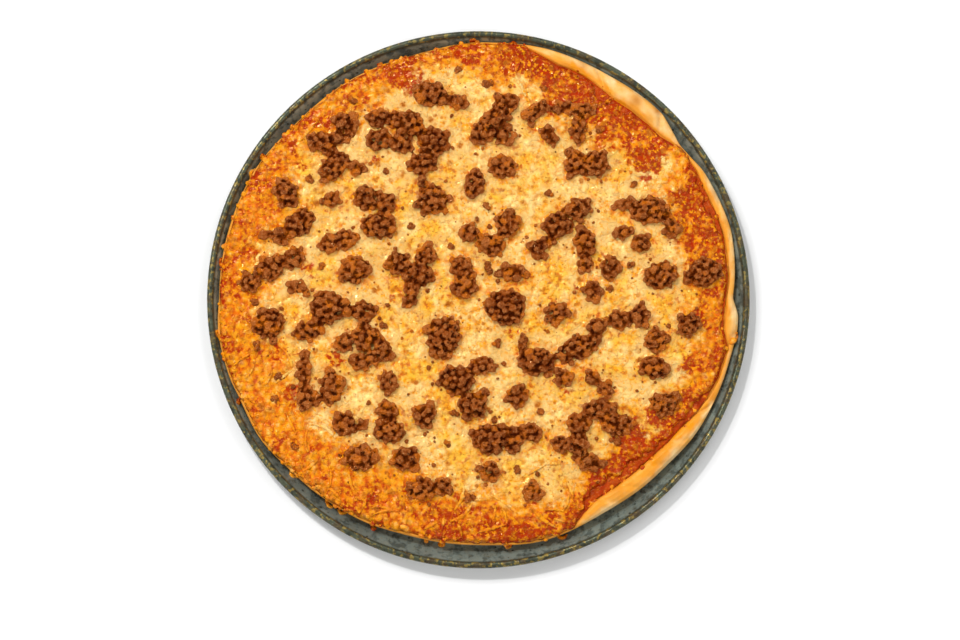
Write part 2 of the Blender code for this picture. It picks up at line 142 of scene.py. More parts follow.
def cell_noise(x, y, size, seed):
    """(distance to the nearest scattered point in cells, a random value of that point)."""
    u, v = x / size, y / size
    i, j = np.floor(u).astype(np.int64), np.floor(v).astype(np.int64)
    nearest, tone = np.full(u.shape, 9.0), np.zeros(u.shape)
    for di in (-1, 0, 1):
        for dj in (-1, 0, 1):
            a, b = i + di, j + dj
            bits = (a * 73856093 ^ b * 19349663 ^ (seed * 83492791)) & 0x7FFFFFFF
            bits = ((bits ^ (bits >> 15)) * 1103515245 + 12345) & 0x7FFFFFFF
            px = a + 0.15 + 0.7 * ((bits >> 3) & 0x3FF) / 1023
            py = b + 0.15 + 0.7 * ((bits >> 13) & 0x3FF) / 1023
            away = np.hypot(u - px, v - py)
            closer = away < nearest
            nearest = np.where(closer, away, nearest)
            tone = np.where(closer, ((bits >> 20) & 0xFF) / 255, tone)
    return nearest, tone


def new_field(value=0.0):
    return np.full((FIELD_CELLS, FIELD_CELLS), value)


def field_axes():
    line = np.linspace(-FIELD_HALF, FIELD_HALF, FIELD_CELLS)
    return np.meshgrid(line, line)


def stamp(field, x, y, reach, shape, combine=np.maximum):
    """Works shape(dx, dy) into the square of the field within reach of a place."""
    low_i = max(int((x - reach + FIELD_HALF) / FIELD_CELL), 0)
    high_i = min(int((x + reach + FIELD_HALF) / FIELD_CELL) + 2, FIELD_CELLS)
    low_j = max(int((y - reach + FIELD_HALF) / FIELD_CELL), 0)
    high_j = min(int((y + reach + FIELD_HALF) / FIELD_CELL) + 2, FIELD_CELLS)
    if low_i >= high_i or low_j >= high_j:
        return
    dx = np.arange(low_i, high_i) * FIELD_CELL - FIELD_HALF - x
    dy = np.arange(low_j, high_j) * FIELD_CELL - FIELD_HALF - y
    part = field[low_j:high_j, low_i:high_i]
    part[...] = combine(part, shape(dx[None, :], dy[:, None]))


def between(grid, u, v, soften=False):
    """The grid's values at these columns and rows, which may lie between its own."""
    i = np.minimum(u.astype(int), grid.shape[1] - 2)
    j = np.minimum(v.astype(int), grid.shape[0] - 2)
    fu, fv = u - i, v - j
    if soften:
        fu, fv = eased(fu), eased(fv)
    low = grid[j, i] * (1 - fu) + grid[j, i + 1] * fu
    high = grid[j + 1, i] * (1 - fu) + grid[j + 1, i + 1] * fu
    return low * (1 - fv) + high * fv


def sampled(field, x, y):
    """The field's values at these places."""
    last = FIELD_CELLS - 1.001
    u = np.clip((x + FIELD_HALF) / FIELD_CELL, 0, last)
    v = np.clip((y + FIELD_HALF) / FIELD_CELL, 0, last)
    return between(field, u, v)


def sampled_at(name, x, y):
    """The value of a named field at one place."""
    return float(sampled(FIELDS[name], np.array([x]), np.array([y]))[0])


def keyed(keys, degrees):
    """Values at these angles on the closed line through (angle, value) keys."""
    angles = [keys[-1][0] - 360] + [key[0] for key in keys] + [keys[0][0] + 360]
    values = [keys[-1][1]] + [key[1] for key in keys] + [keys[0][1]]
    return np.interp(np.asarray(degrees) % 360, angles, values)


# What the frame says: outlines, heights and places


def node_points(name):
    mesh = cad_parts[name].data
    points = np.empty(len(mesh.vertices) * 3)
    mesh.vertices.foreach_get("co", points)
    return points.reshape(-1, 3)


def node_tree(name):
    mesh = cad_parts[name].data
    return BVHTree.FromPolygons([v.co for v in mesh.vertices], [p.vertices[:] for p in mesh.polygons])


def node_outline(name):
    """How far this node reaches from the middle, at each of the outline's angles."""
    points = node_points(name)
    radius = np.hypot(points[:, 0], points[:, 1])
    outer = radius > 0.8 * radius.max()
    angle = np.degrees(np.arctan2(points[outer, 1], points[outer, 0])) % 360
    step = 360 / OUTLINE_READINGS
    slot = np.round(angle / step).astype(int) % OUTLINE_READINGS
    keys = [(step * k, radius[outer][slot == k].max()) for k in range(OUTLINE_READINGS)]
    return turned_average(keyed(keys, np.degrees(angles_of(OUTLINE_STEPS))), 9)


def turned_average(line, width):
    """A closed line of values, each averaged with its neighbours."""
    kernel = np.hanning(width + 2)[1:-1]
    kernel /= kernel.sum()
    half = width // 2
    padded = np.concatenate([line[-half:], line, line[:half]])
    return np.convolve(padded, kernel, "valid")


def around(line, angle):
    """The outline's value at these angles, in radians."""
    place = (np.asarray(angle) / (2 * math.pi) * OUTLINE_STEPS) % OUTLINE_STEPS
    i = place.astype(int) % OUTLINE_STEPS
    return line[i] + (line[(i + 1) % OUTLINE_STEPS] - line[i]) * (place - np.floor(place))


def heights(tree, x, y, missing):
    """Heights of a node's top at these places, with a value where it isn't there."""
    down = Vector((0, 0, -1))
    found = [tree.ray_cast(Vector((a, b, ABOVE_ALL)), down)[0] for a, b in zip(x, y)]
    return np.array([missing if hit is None else hit.z for hit in found])


def cheese_level():
    """The field of the cheese's own height, without the crumbs that stand on it."""
    points = node_points("cheese")
    low, high = CHEESE_MEAN - 1.0 * MM, CHEESE_MEAN + 0.95 * MM
    kept = points[(points[:, 2] > low) & (points[:, 2] < high)]
    coarse = np.linspace(-FIELD_HALF, FIELD_HALF, COARSE_CELLS + 1)
    gx, gy = np.meshgrid(coarse, coarse)
    away = (gx[..., None] - kept[:, 0]) ** 2 + (gy[..., None] - kept[:, 1]) ** 2
    weight = 1 / (away + (2 * MM) ** 2) ** 2
    level = (weight * kept[:, 2]).sum(-1) / weight.sum(-1)
    x, y = field_axes()
    u = (x + FIELD_HALF) / (2 * FIELD_HALF) * COARSE_CELLS
    v = (y + FIELD_HALF) / (2 * FIELD_HALF) * COARSE_CELLS
    return between(level, u, v, soften=True)


def crumb_places():
    """(x, y, width, height above the cheese) of each crumb that stands on the cheese node."""
    points = node_points("cheese")
    high = points[points[:, 2] > CHEESE_MEAN + 1.0 * MM]
    places = []
    while len(high):
        near = np.hypot(*(high[:, :2] - high[0, :2]).T) < CRUMB_REACH
        group = high[near]
        middle = (group[:, :2].min(0) + group[:, :2].max(0)) / 2
        width = float((group[:, :2].max(0) - group[:, :2].min(0)).mean())
        places.append((float(middle[0]), float(middle[1]), width, float(group[:, 2].max())))
        high = high[~near]
    return places


# The points of one crumb lie this near to each other
CRUMB_REACH = 5.5 * MM
CHEESE_MEAN = float(np.median(node_points("cheese")[:, 2]))
CHEESE_LINE = node_outline("cheese")
SAUCE_LINE = node_outline("sauce")
CRUST_LINE = node_outline("crust")
SAUCE_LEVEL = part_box("sauce")[1].z


# Building meshes


def mesh_object(name, points, faces, smooth=True):
    """A named mesh object in the scene, from arrays of points and of faces."""
    mesh = bpy.data.meshes.new(name)
    mesh.from_pydata([tuple(p) for p in points], [], faces)
    mesh.update()
    if smooth:
        mesh.shade_smooth()
    made = bpy.data.objects.new(name, mesh)
    bpy.context.scene.collection.objects.link(made)
    return made


def set_mask(piece, name, values):
    """Stores one number for each point of the mesh, which its material reads by name."""
    layer = piece.data.attributes.new(name, "FLOAT", "POINT")
    layer.data.foreach_set("value", np.asarray(values, np.float32))


def ring_faces(counts):
    """Faces between rings of points that each turn once round the middle.

    The first and the last ring may be a single point. Neighbouring rings have the same count,
    or one has twice the other's.
    """
    faces = []
    starts = [0, *np.cumsum(counts)[:-1].tolist()]
    for inner, outer, few, many in zip(starts, starts[1:], counts, counts[1:]):
        flip = few > many
        a, b, n, m = (outer, inner, many, few) if flip else (inner, outer, few, many)
        i = np.arange(m)
        after = (i + 1) % m
        if n == m:
            made = np.stack([a + i, b + i, b + after, a + after], 1).tolist()
        elif n == 1:
            made = np.stack([np.full(m, a), b + i, b + after], 1).tolist()
        else:
            k = np.arange(n)
            next_k = (k + 1) % n
            made = np.stack([a + k, b + 2 * k, b + 2 * k + 1], 1).tolist()
            made += np.stack([a + k, b + 2 * k + 1, a + next_k], 1).tolist()
            made += np.stack([a + next_k, b + 2 * k + 1, b + (2 * k + 2) % m], 1).tolist()
        faces += [face[::-1] for face in made] if flip else made
    return faces


def ring_piece(name, counts, points):
    """A closed piece through rings of points, with how many points each ring has."""
    made = mesh_object(name, points, ring_faces(counts))
    face_outwards(made.data)
    return made


def ring_points(rings):
    """Points of rings of (count, radius, height), which are arrays or numbers."""
    points = []
    for count, radius, height in rings:
        angle = angles_of(count)
        height = np.broadcast_to(height, count)
        points.append(np.stack([radius * np.cos(angle), radius * np.sin(angle), height], 1))
    return np.concatenate(points)


def turned_piece(name, rings):
    """A closed piece through rings of (count, radius, height)."""
    return ring_piece(name, [count for count, _radius, _height in rings], ring_points(rings))


def ring_places(rings, edge):
    """x and y over rings of (count, share of the way out), with the edge's distance by angle."""
    angles = [angles_of(count) for count, _share in rings]
    radii = [edge(angle) * share for angle, (_count, share) in zip(angles, rings)]
    x = np.concatenate([r * np.cos(a) for r, a in zip(radii, angles)])
    y = np.concatenate([r * np.sin(a) for r, a in zip(radii, angles)])
    return x, y


def face_outwards(mesh):
    shape = bmesh.new()
    shape.from_mesh(mesh)
    bmesh.ops.recalc_face_normals(shape, faces=shape.faces)
    if shape.calc_volume(signed=True) < 0:
        bmesh.ops.reverse_faces(shape, faces=shape.faces)
    shape.to_mesh(mesh)
    shape.free()


def ball_mesh(level):
    """Points and faces of a ball of radius 1."""
    shape = bmesh.new()
    bmesh.ops.create_icosphere(shape, subdivisions=level, radius=1)
    points = np.array([v.co[:] for v in shape.verts])
    faces = [[v.index for v in f.verts] for f in shape.faces]
    shape.free()
    return points, faces


def lumpy_balls(places, level, roughness, seed):
    """Points and faces of rough balls at (x, y, z, radius, flatness), each turned its own way."""
    unit, unit_faces = ball_mesh(level)
    spots = [Vector(p) for p in unit]
    draw = random.Random(seed)
    points, faces = [], []
    for number, (x, y, z, radius, flatness) in enumerate(places):
        turn = Euler([draw.uniform(0, 2 * math.pi) for _ in range(3)]).to_matrix()
        stretch = np.array((1.0, draw.uniform(0.74, 1.0), draw.uniform(0.7, 0.95)))
        offset = Vector([draw.uniform(-50, 50) for _ in range(3)])
        broad = np.array([noise.noise(v * 1.6 + offset) for v in spots])
        bumps = broad + 0.35 * np.array([noise.noise(v * 4 + offset) for v in spots])
        shaped = unit * stretch * (1 + roughness * bumps)[:, None] @ np.array(turn).T
        shaped[:, 2] *= flatness
        points.append(shaped * radius + np.array((x, y, z)))
        faces += [[i + number * len(unit) for i in face] for face in unit_faces]
    return np.concatenate(points), faces


# Shader building

OILY_TINT = (1.0, 0.66, 0.3, 1)
SOFT_LIGHT = 0.08


class Nodes:
    """Short ways to add nodes to one shader tree. Most return the new node's output."""

    def __init__(self, tree):
        self.tree = tree

    def give(self, socket, value):
        """Sets a socket to a value, or links another node's output to it."""
        if isinstance(value, bpy.types.NodeSocket):
            self.tree.links.new(value, socket)
        else:
            socket.default_value = value

    def put(self, kind, inputs=None, **settings):
        made = self.tree.nodes.new(kind)
        for key, value in settings.items():
            setattr(made, key, value)
        for key, value in (inputs or {}).items():
            self.give(made.inputs[key], value)
        return made

    def math(self, how, first, second):
        return self.put("ShaderNodeMath", {0: first, 1: second}, operation=how).outputs[0]

    def times(self, first, second):
        return self.math("MULTIPLY", first, second)

    def plus(self, first, second):
        return self.math("ADD", first, second)

    def minus(self, first, second):
        return self.math("SUBTRACT", first, second)

    def larger(self, first, second):
        return self.math("MAXIMUM", first, second)

    def ramp(self, value, low, high, to_low=0.0, to_high=1.0):
        """The value moved from one range to another, held inside it."""
        inputs = {"Value": value, "From Min": low, "From Max": high, "To Min": to_low, "To Max": to_high}
        return self.put("ShaderNodeMapRange", inputs, clamp=True).outputs[0]

    def uneven(self, share, mask, low, high):
        """A share made weaker by a mask: times low where it is 0, and high where it is 1."""
        return self.times(share, self.ramp(mask, 0, 1, low, high))

    def mask(self, name):
        """The number that set_mask stored on the mesh."""
        return self.put("ShaderNodeAttribute", attribute_name=name).outputs["Fac"]

    def here(self):
        """The place on the object, in its own coordinates."""
        return self.put("ShaderNodeTexCoord").outputs["Object"]

    def mottle(self, size, detail, low, high, seed):
        inputs = {"Size": size, "Detail": detail, "Low": low, "High": high, "Seed": seed}
        return self.put("ShaderNodeGroup", inputs, node_tree=mottle_group()).outputs["Mask"]

    def specks(self, spacing, radius, share, seed):
        inputs = {"Spacing": spacing, "Radius": radius, "Share": share, "Seed": seed}
        return self.put("ShaderNodeGroup", inputs, node_tree=specks_group()).outputs["Mask"]


class Look(Nodes):
    """A new material that starts as one colour and is painted over, layer by layer."""

    def __init__(self, name, ground):
        self.material = bpy.data.materials.new(name)
        self.material.use_nodes = True
        super().__init__(self.material.node_tree)
        self.inputs = self.tree.nodes["Principled BSDF"].inputs
        self.colour = (*ground, 1)

    def paint(self, share, colour, strength=1):
        """Lays a colour over what is there, as much of it as share times strength says."""
        share = share if strength == 1 else self.times(share, strength)
        made = self.put("ShaderNodeMix", {0: share}, data_type="RGBA", clamp_factor=True)
        self.give(made.inputs[6], self.colour)
        self.give(made.inputs[7], (*colour, 1))
        self.colour = made.outputs[2]

    def shine_like_oil(self, level):
        """A shine that takes the warm tone of oily food."""
        self.give(self.inputs["Specular IOR Level"], level)
        self.give(self.inputs["Specular Tint"], OILY_TINT)

    def let_light_in(self, depths, scale):
        """Lets light a little way into the surface, red deeper than blue."""
        self.give(self.inputs["Subsurface Weight"], SOFT_LIGHT)
        self.give(self.inputs["Subsurface Radius"], depths)
        self.give(self.inputs["Subsurface Scale"], scale)

    def finish(self, roughness, height, distance, strength):
        """Joins the colour, the roughness and the fine relief to the shader."""
        relief = {"Height": height, "Distance": distance, "Strength": strength}
        self.give(self.inputs["Base Color"], self.colour)
        self.give(self.inputs["Roughness"], roughness)
        self.give(self.inputs["Normal"], self.put("ShaderNodeBump", relief).outputs["Normal"])
        return self.material


def new_group(name, inputs):
    """An empty shader node group with number inputs, as (name, default), that puts out a mask."""
    group = bpy.data.node_groups.new(name, "ShaderNodeTree")
    for label, default in inputs:
        socket = group.interface.new_socket(label, in_out="INPUT", socket_type="NodeSocketFloat")
        socket.default_value = default
    group.interface.new_socket("Mask", in_out="OUTPUT", socket_type="NodeSocketFloat")
    add = Nodes(group)
    return group, add, add.put("NodeGroupInput").outputs, add.put("NodeGroupOutput").inputs["Mask"]


def mottle_group():
    """Soft uneven patches: noise over the object's own coordinates, with a soft threshold."""
    if "Mottle" in bpy.data.node_groups:
        return bpy.data.node_groups["Mottle"]
    inputs = (("Size", 0.01), ("Detail", 3.0), ("Low", 0.4), ("High", 0.6), ("Seed", 0.0))
    group, add, given, result = new_group("Mottle", inputs)
    scale = add.math("DIVIDE", 1.0, given["Size"])
    inputs = {"Vector": add.here(), "W": given["Seed"], "Scale": scale, "Detail": given["Detail"]}
    found = add.put("ShaderNodeTexNoise", inputs, noise_dimensions="4D").outputs["Fac"]
    add.give(result, add.ramp(found, given["Low"], given["High"]))
    return group


def specks_group():
    """Small round specks, of which only a share shows, each its own size."""
    if "Specks" in bpy.data.node_groups:
        return bpy.data.node_groups["Specks"]
    inputs = (("Spacing", 0.006), ("Radius", 0.15), ("Share", 0.5), ("Seed", 0.0))
    group, add, given, result = new_group("Specks", inputs)

    def vectors(how, inputs):
        return add.put("ShaderNodeVectorMath", inputs, operation=how).outputs[0]

    where = add.here()
    wave = add.put("ShaderNodeTexNoise", {"Vector": where, "Scale": 700.0, "Detail": 1.0})
    bend = vectors("SCALE", {0: wave.outputs["Color"], "Scale": 1.2 * MM})
    shift = add.put("ShaderNodeCombineXYZ", {"X": given["Seed"], "Y": given["Seed"]}).outputs[0]
    moved = vectors("ADD", {0: vectors("ADD", {0: where, 1: bend}), 1: shift})
    scale = add.math("DIVIDE", 1.0, given["Spacing"])
    cells = add.put("ShaderNodeTexVoronoi", {"Vector": moved, "Scale": scale}).outputs
    own = add.put("ShaderNodeSeparateColor", {"Color": cells["Color"]}).outputs
    radius = add.times(given["Radius"], add.ramp(own[1], 0, 1, 0.45, 1.2))
    round_spot = add.ramp(cells["Distance"], add.times(radius, 0.55), radius, 1.0, 0.0)
    shows = add.math("LESS_THAN", own[0], given["Share"])
    add.give(result, add.times(round_spot, shows))
    return group


def shared_material(name):
    """A material that another operator has made."""
    material = bpy.data.materials.get(name)
    if material is None:
        raise RuntimeError("first make the piece that has the material " + name)
    return material


def finish_piece(piece, material, slot, *nodes):
    """Gives the piece its material and its body, and hides the nodes that it stands for. The slot is not
    used.
    """
    piece.data.materials.append(material)
    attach(piece, "root")
    if nodes:
        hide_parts(*nodes)


# Settings that a user would change


def colour(name, description, default):
    return bpy.props.FloatVectorProperty(
        name=name, description=description, default=default, subtype="COLOR", size=3, min=0, max=1
    )


def length(name, description, default):
    return bpy.props.FloatProperty(name=name, description=description, default=default, unit="LENGTH")


class PIZZA_PG_pan(bpy.types.PropertyGroup):
    steel: colour("Steel", "Colour of the dark seasoned steel", (0.075, 0.085, 0.05))
    wall: colour("Wall", "Colour of the paler steel on the pan's wall", (0.36, 0.45, 0.41))
    oil: colour("Baked oil", "Colour of the baked-on specks of oil", (0.34, 0.24, 0.05))
    rust: colour("Rust", "Colour of the brown patches", (0.1, 0.055, 0.02))
    soot: colour("Soot", "Colour of the dark specks", (0.012, 0.012, 0.01))
    worn: colour("Worn", "Colour of the pale worn specks", (0.4, 0.4, 0.36))
    ring_points: bpy.props.IntProperty(name="Ring points", description="Points round the pan", default=360)


class PIZZA_PG_crust(bpy.types.PropertyGroup):
    dough: colour("Dough", "Colour of the baked dough", (0.86, 0.42, 0.085))
    pale: colour("Pale dough", "Colour of the palest dough", (0.9, 0.65, 0.32))
    browned: colour("Browned", "Colour of the browned dough", (0.56, 0.19, 0.02))
    oily: colour("Oily", "Colour of dough soaked with orange oil", (0.86, 0.3, 0.008))


class PIZZA_PG_sauce(bpy.types.PropertyGroup):
    red: colour("Red", "Colour of the cooked sauce", (0.4, 0.026, 0.001))
    deep: colour("Deep red", "Colour of the thick and browned sauce", (0.22, 0.012, 0.0005))
    bright: colour("Bright", "Colour of the thin oily sauce", (0.62, 0.1, 0.002))
    bits: colour("Bits", "Colour of the dark bits of spice", (0.04, 0.008, 0.003))
    spacing: length("Point spacing", "Distance between points of the sauce", 1.4 * MM)


class PIZZA_PG_cheese(bpy.types.PropertyGroup):
    cream: colour("Cream", "Colour of the melted cheese", (0.95, 0.67, 0.24))
    # yellow is also laid in the hollows between the lumps as painted shade.
    yellow: colour("Yellow", "Colour of the richer patches", (0.9, 0.46, 0.02))
    gold: colour("Gold", "Colour of the oily golden patches", (0.88, 0.32, 0.004))
    beige: colour("Beige", "Colour of the smooth melt beside the meat", (0.74, 0.41, 0.12))
    orange: colour("Orange", "Colour of cheese soaked by the sauce", (0.7, 0.115, 0.001))
    red: colour("Red", "Colour where sauce shows through", (0.4, 0.016, 0.0002))
    # tan is also laid in the hollows between the lumps as painted shade, with the toasted grain.
    tan: colour("Tan", "Colour of the lightly browned spots", (0.56, 0.16, 0.006))
    brown: colour("Brown", "Colour of the browned bubbles", (0.24, 0.035, 0.002))
    spacing: length("Point spacing", "Distance between points of the cheese", 1.05 * MM)


class PIZZA_PG_meat(bpy.types.PropertyGroup):
    lit: colour("Meat", "Colour of the granules of meat", (0.31, 0.057, 0.003))
    # pale is the palest granules' own colour, and also painted light on the humps of the granules.
    pale: colour("Pale meat", "Colour of the palest granules", (0.55, 0.17, 0.04))
    deep: colour("Deep meat", "Colour of the darkest granules", (0.15, 0.02, 0.001))
    # dark is painted shade: it is laid in the crevices between the granules and in small pits.
    dark: colour("Crevices", "Colour between the granules", (0.035, 0.003, 0.0002))
    # glint is orange on granules chosen at random, partly an oily stain and partly painted orange glints.
    glint: colour("Orange", "Colour of granules stained with orange oil", (0.62, 0.14, 0.002))
    voxel: length("Fineness", "Size of the finest form of a clump", 0.74 * MM)


class PIZZA_PG_stage(bpy.types.PropertyGroup):
    floor: colour("Floor", "Colour of the pale floor", (0.94, 0.94, 0.94))
    distance: length("Camera distance", "From the camera to the pan", 3.2)
    elevation: bpy.props.FloatProperty(
        name="Camera elevation",
        description="Angle of the view above the horizon",
        default=math.radians(82),
        subtype="ANGLE",
    )


# Meat: granules heaped on the frame's clumps

GRANULE_RADII = 1.7 * MM, 4.4 * MM
# A higher power makes more of the granules small
GRANULE_POWER = 1.2
# Two granules are at least this share of their radii apart
GRANULE_SPACING = 0.7
# Faces of the core that look further down than this carry no granules
GRANULE_SLOPE = -0.35
# How deep a granule's middle lies in the core, as a share of its radius
GRANULE_SUNK = 0.4, 0.95
# Below this height over the cheese it lies up to this share further out
GRANULE_FOOT, GRANULE_OUT = 3 * MM, 1.1
# One place is tried for each such area of the core
GRANULE_TRY_AREA = 1.5 * MM**2
GRANULE_ROUGHNESS = 0.36
# How deep the frame's own core lies under the granules
CORE_SUNK = 2.1 * MM
# The tips of a clump are pressed down over this height
SOFT_TOP = 1.2 * MM


def clump_number(name):
    return int(name.split("_")[1])


def clump_granules(name):
    """(x, y, z, radius, flatness) of the granules that cover one clump of the frame."""
    draw = random.Random(clump_number(name) * 101)
    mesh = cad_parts[name].data
    mesh.calc_loop_triangles()
    corners = [[mesh.vertices[i].co for i in t.vertices] for t in mesh.loop_triangles]
    faces = [(a, b, c, (b - a).cross(c - a)) for a, b, c in corners]
    faces = [f for f in faces if f[3].length > 0 and f[3].normalized().z > GRANULE_SLOPE]
    areas = [face[3].length / 2 for face in faces]
    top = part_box(name)[1].z
    kept = []
    for _ in range(int(sum(areas) / GRANULE_TRY_AREA)):
        a, b, c, normal = draw.choices(faces, areas)[0]
        u, v = draw.random(), draw.random()
        if u + v > 1:
            u, v = 1 - u, 1 - v
        place = a + (b - a) * u + (c - a) * v
        radius = mixed(*GRANULE_RADII, draw.random() ** GRANULE_POWER)
        at_foot = 1 - min((place.z - CHEESE_MEAN) / GRANULE_FOOT, 1)
        sunk = draw.uniform(*GRANULE_SUNK) - at_foot * draw.uniform(0, GRANULE_OUT)
        centre = place - normal.normalized() * radius * sunk
        centre.z = min(centre.z, top - radius * 0.86)
        reach = [GRANULE_SPACING * (radius + k[3]) for k in kept]
        if all((centre - Vector(k[:3])).length > r for k, r in zip(kept, reach)):
            kept.append((centre.x, centre.y, centre.z, radius, draw.uniform(0.8, 1.0)))
    return kept


def make_clump(name, voxel):
    """The granules of one clump and its core, melted into one closed rough mesh."""
    granules, seed = clump_granules(name), clump_number(name)
    points, faces = lumpy_balls(granules, 3, GRANULE_ROUGHNESS, seed)
    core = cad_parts[name].data
    sunk = np.array([v.co - v.normal * CORE_SUNK for v in core.vertices])
    faces += [[i + len(points) for i in p.vertices] for p in core.polygons]
    rough = mesh_object(name + "_granules", np.concatenate([points, sunk]), faces)
    melt(rough, voxel)
    keep_largest(rough.data)
    roughen(rough.data, 0.3 * MM, 2.6 * MM)
    roughen(rough.data, 0.22 * MM, 1.3 * MM)
    keep_below(rough.data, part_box(name)[1].z)
    rough.data.shade_smooth()
    depth = hollows(rough.data, 10)
    set_mask(rough, "tone", granule_tones(rough.data, granules, seed))
    # Masks for painted shade in the crevices and painted light on the humps of the granules.
    set_mask(rough, "crevice_shade", smooth_step(-0.03 * MM, 0.26 * MM, depth))
    set_mask(rough, "ridge_light", smooth_step(0.1 * MM, 0.6 * MM, -depth))
    return rough


def melt(piece, voxel):
    """Melts the overlapping bodies of a piece into one skin."""
    step = piece.modifiers.new("melt", "REMESH")
    step.mode = "VOXEL"
    step.voxel_size = voxel
    evaluated = piece.evaluated_get(bpy.context.evaluated_depsgraph_get())
    melted, old = bpy.data.meshes.new_from_object(evaluated), piece.data
    piece.modifiers.clear()
    piece.data = melted
    bpy.data.meshes.remove(old)
    melted.shade_smooth()


def keep_largest(mesh):
    """Drops loose bits, so that one closed body is left."""
    shape = bmesh.new()
    shape.from_mesh(mesh)
    shape.verts.ensure_lookup_table()
    left, bodies = set(shape.verts), []
    while left:
        body, edge = set(), [left.pop()]
        while edge:
            vert = edge.pop()
            body.add(vert)
            for link in vert.link_edges:
                other = link.other_vert(vert)
                if other in left:
                    left.discard(other)
                    edge.append(other)
        bodies.append(body)
    bodies.sort(key=len)
    for body in bodies[:-1]:
        bmesh.ops.delete(shape, geom=list(body), context="VERTS")
    shape.to_mesh(mesh)
    shape.free()


def points_and_normals(mesh):
    """Where the mesh's points lie and which way they face, as two flat arrays."""
    points, normals = np.empty(len(mesh.vertices) * 3), np.empty(len(mesh.vertices) * 3)
    mesh.vertices.foreach_get("co", points)
    mesh.vertex_normals.foreach_get("vector", normals)
    return points, normals


def roughen(mesh, height, size):
    """Moves the points along their normals by fine noise."""
    points, normals = points_and_normals(mesh)
    moves = [noise.noise(v.co / size) + 0.5 * noise.noise(v.co / size * 2.1) for v in mesh.vertices]
    points += normals * np.repeat(moves, 3) * height
    mesh.vertices.foreach_set("co", points)
    mesh.update()


def keep_below(mesh, top):
    """Presses the tips of a mesh softly down, so that they end under this height."""
    for vertex in mesh.vertices:
        over = vertex.co.z - (top - SOFT_TOP)
        if over > 0:
            vertex.co.z = top - SOFT_TOP * math.exp(-over / SOFT_TOP)
    mesh.update()


def hollows(mesh, rounds):
    """How deep each point lies in a hollow of the mesh, in metres, and below zero on a hump."""
    count = len(mesh.vertices)
    points, normals = points_and_normals(mesh)
    ends = np.empty(len(mesh.edges) * 2, np.int32)
    mesh.edges.foreach_get("vertices", ends)
    a, b = ends[0::2], ends[1::2]
    links = np.bincount(ends, minlength=count)
    depth = np.zeros(count)
    for axis in range(3):
        line = points[axis::3]
        soft = line
        for _ in range(rounds):
            soft = (np.bincount(a, soft[b], count) + np.bincount(b, soft[a], count)) / links
        depth += (soft - line) * normals[axis::3]
    return depth


def granule_tones(mesh, granules, seed):
    """For each point, its granule's own tone."""
    finder = KDTree(len(granules))
    for number, (x, y, z, _radius, _flat) in enumerate(granules):
        finder.insert((x, y, z), number)
    finder.balance()
    draw = random.Random(seed + 7)
    shade = draw.uniform(-0.18, 0.18)
    own = [min(max(draw.random() + shade, 0), 1) for _ in granules]
    return [own[finder.find(vertex.co)[1]] for vertex in mesh.vertices]


def meat_material(settings):
    look = Look("cooked ground meat", settings.deep)
    tone, crevice_shade, ridge_light = look.mask("tone"), look.mask("crevice_shade"), look.mask("ridge_light")
    fine = look.mottle(1.5 * MM, 4, 0.34, 0.66, seed=2)
    small = look.mottle(4.5 * MM, 3, 0.4, 0.62, seed=4)
    broad = look.mottle(12 * MM, 2, 0.45, 0.6, seed=5)
    look.paint(look.ramp(tone, 0.0, 0.5), settings.lit)
    look.paint(look.ramp(tone, 0.55, 1.0, 0.0, 0.7), settings.pale)
    look.paint(small, settings.lit, 0.5)
    # Painted light: the humps of the granules are laid paler.
    look.paint(look.uneven(ridge_light, fine, 0.15, 0.95), settings.pale)
    # Orange on granules chosen at random: partly an oily stain, partly painted orange glints.
    stained = look.ramp(look.plus(tone, look.times(broad, 0.3)), 0.8, 0.97)
    look.paint(look.uneven(stained, small, 0.25, 0.9), settings.glint)
    # Painted shade: the crevices between the granules are laid near black.
    look.paint(look.uneven(crevice_shade, small, 0.95, 0.7), settings.dark)
    # Painted shade in small pits, which the relief also sinks.
    shaded_pits = look.specks(2.6 * MM, 0.34, 0.3, seed=1)
    look.paint(shaded_pits, settings.dark, 0.7)
    look.shine_like_oil(look.ramp(crevice_shade, 0, 0.6, 0.6, 0.05))
    return look.finish(look.ramp(fine, 0, 1, 0.09, 0.3), look.minus(fine, shaded_pits), 1.1 * MM, 1.0)


class PIZZA_OT_meat(bpy.types.Operator):
    """Heaps granules on every clump of meat"""

    bl_idname = "pizza.meat"
    bl_label = "Ground meat"

    def execute(self, context):
        settings = context.scene.pizza_meat
        material = meat_material(settings)
        for name in MEAT_NODES:
            finish_piece(make_clump(name, settings.voxel), material, "ground_meat", name)
        return {"FINISHED"}


# Cheese: a fine melted sheet with masks for its colours

# Depth of the orange border inside the crust, in millimetres, and its redness, by angle
BORDER_DEPTH = (
    (0, 24), (20, 30), (35, 14), (48, 24), (70, 22), (85, 24), (95, 12), (110, 22), (128, 24),
    (145, 20), (160, 30), (180, 26), (200, 34), (225, 34), (245, 36), (265, 36), (285, 30),
    (300, 14), (320, 12), (338, 20), (350, 24),
)
BORDER_RED = (
    (0, 0.6), (8, 0.85), (22, 0.9), (34, 0.3), (45, 0.8), (60, 1.0), (84, 1.0), (94, 0.4),
    (108, 0.75), (122, 0.45), (140, 0.6), (155, 0.3), (172, 0.45), (188, 0.25), (202, 0.4),
    (222, 0.2), (240, 0.2), (258, 0.4), (272, 0.65), (286, 0.6), (300, 0.6), (320, 0.85),
    (334, 0.7), (350, 0.4),
)
# The border fades out over this many times its depth, and its line wanders by this much
BORDER_REACH = 1.25
BORDER_UNEVEN = 16 * MM
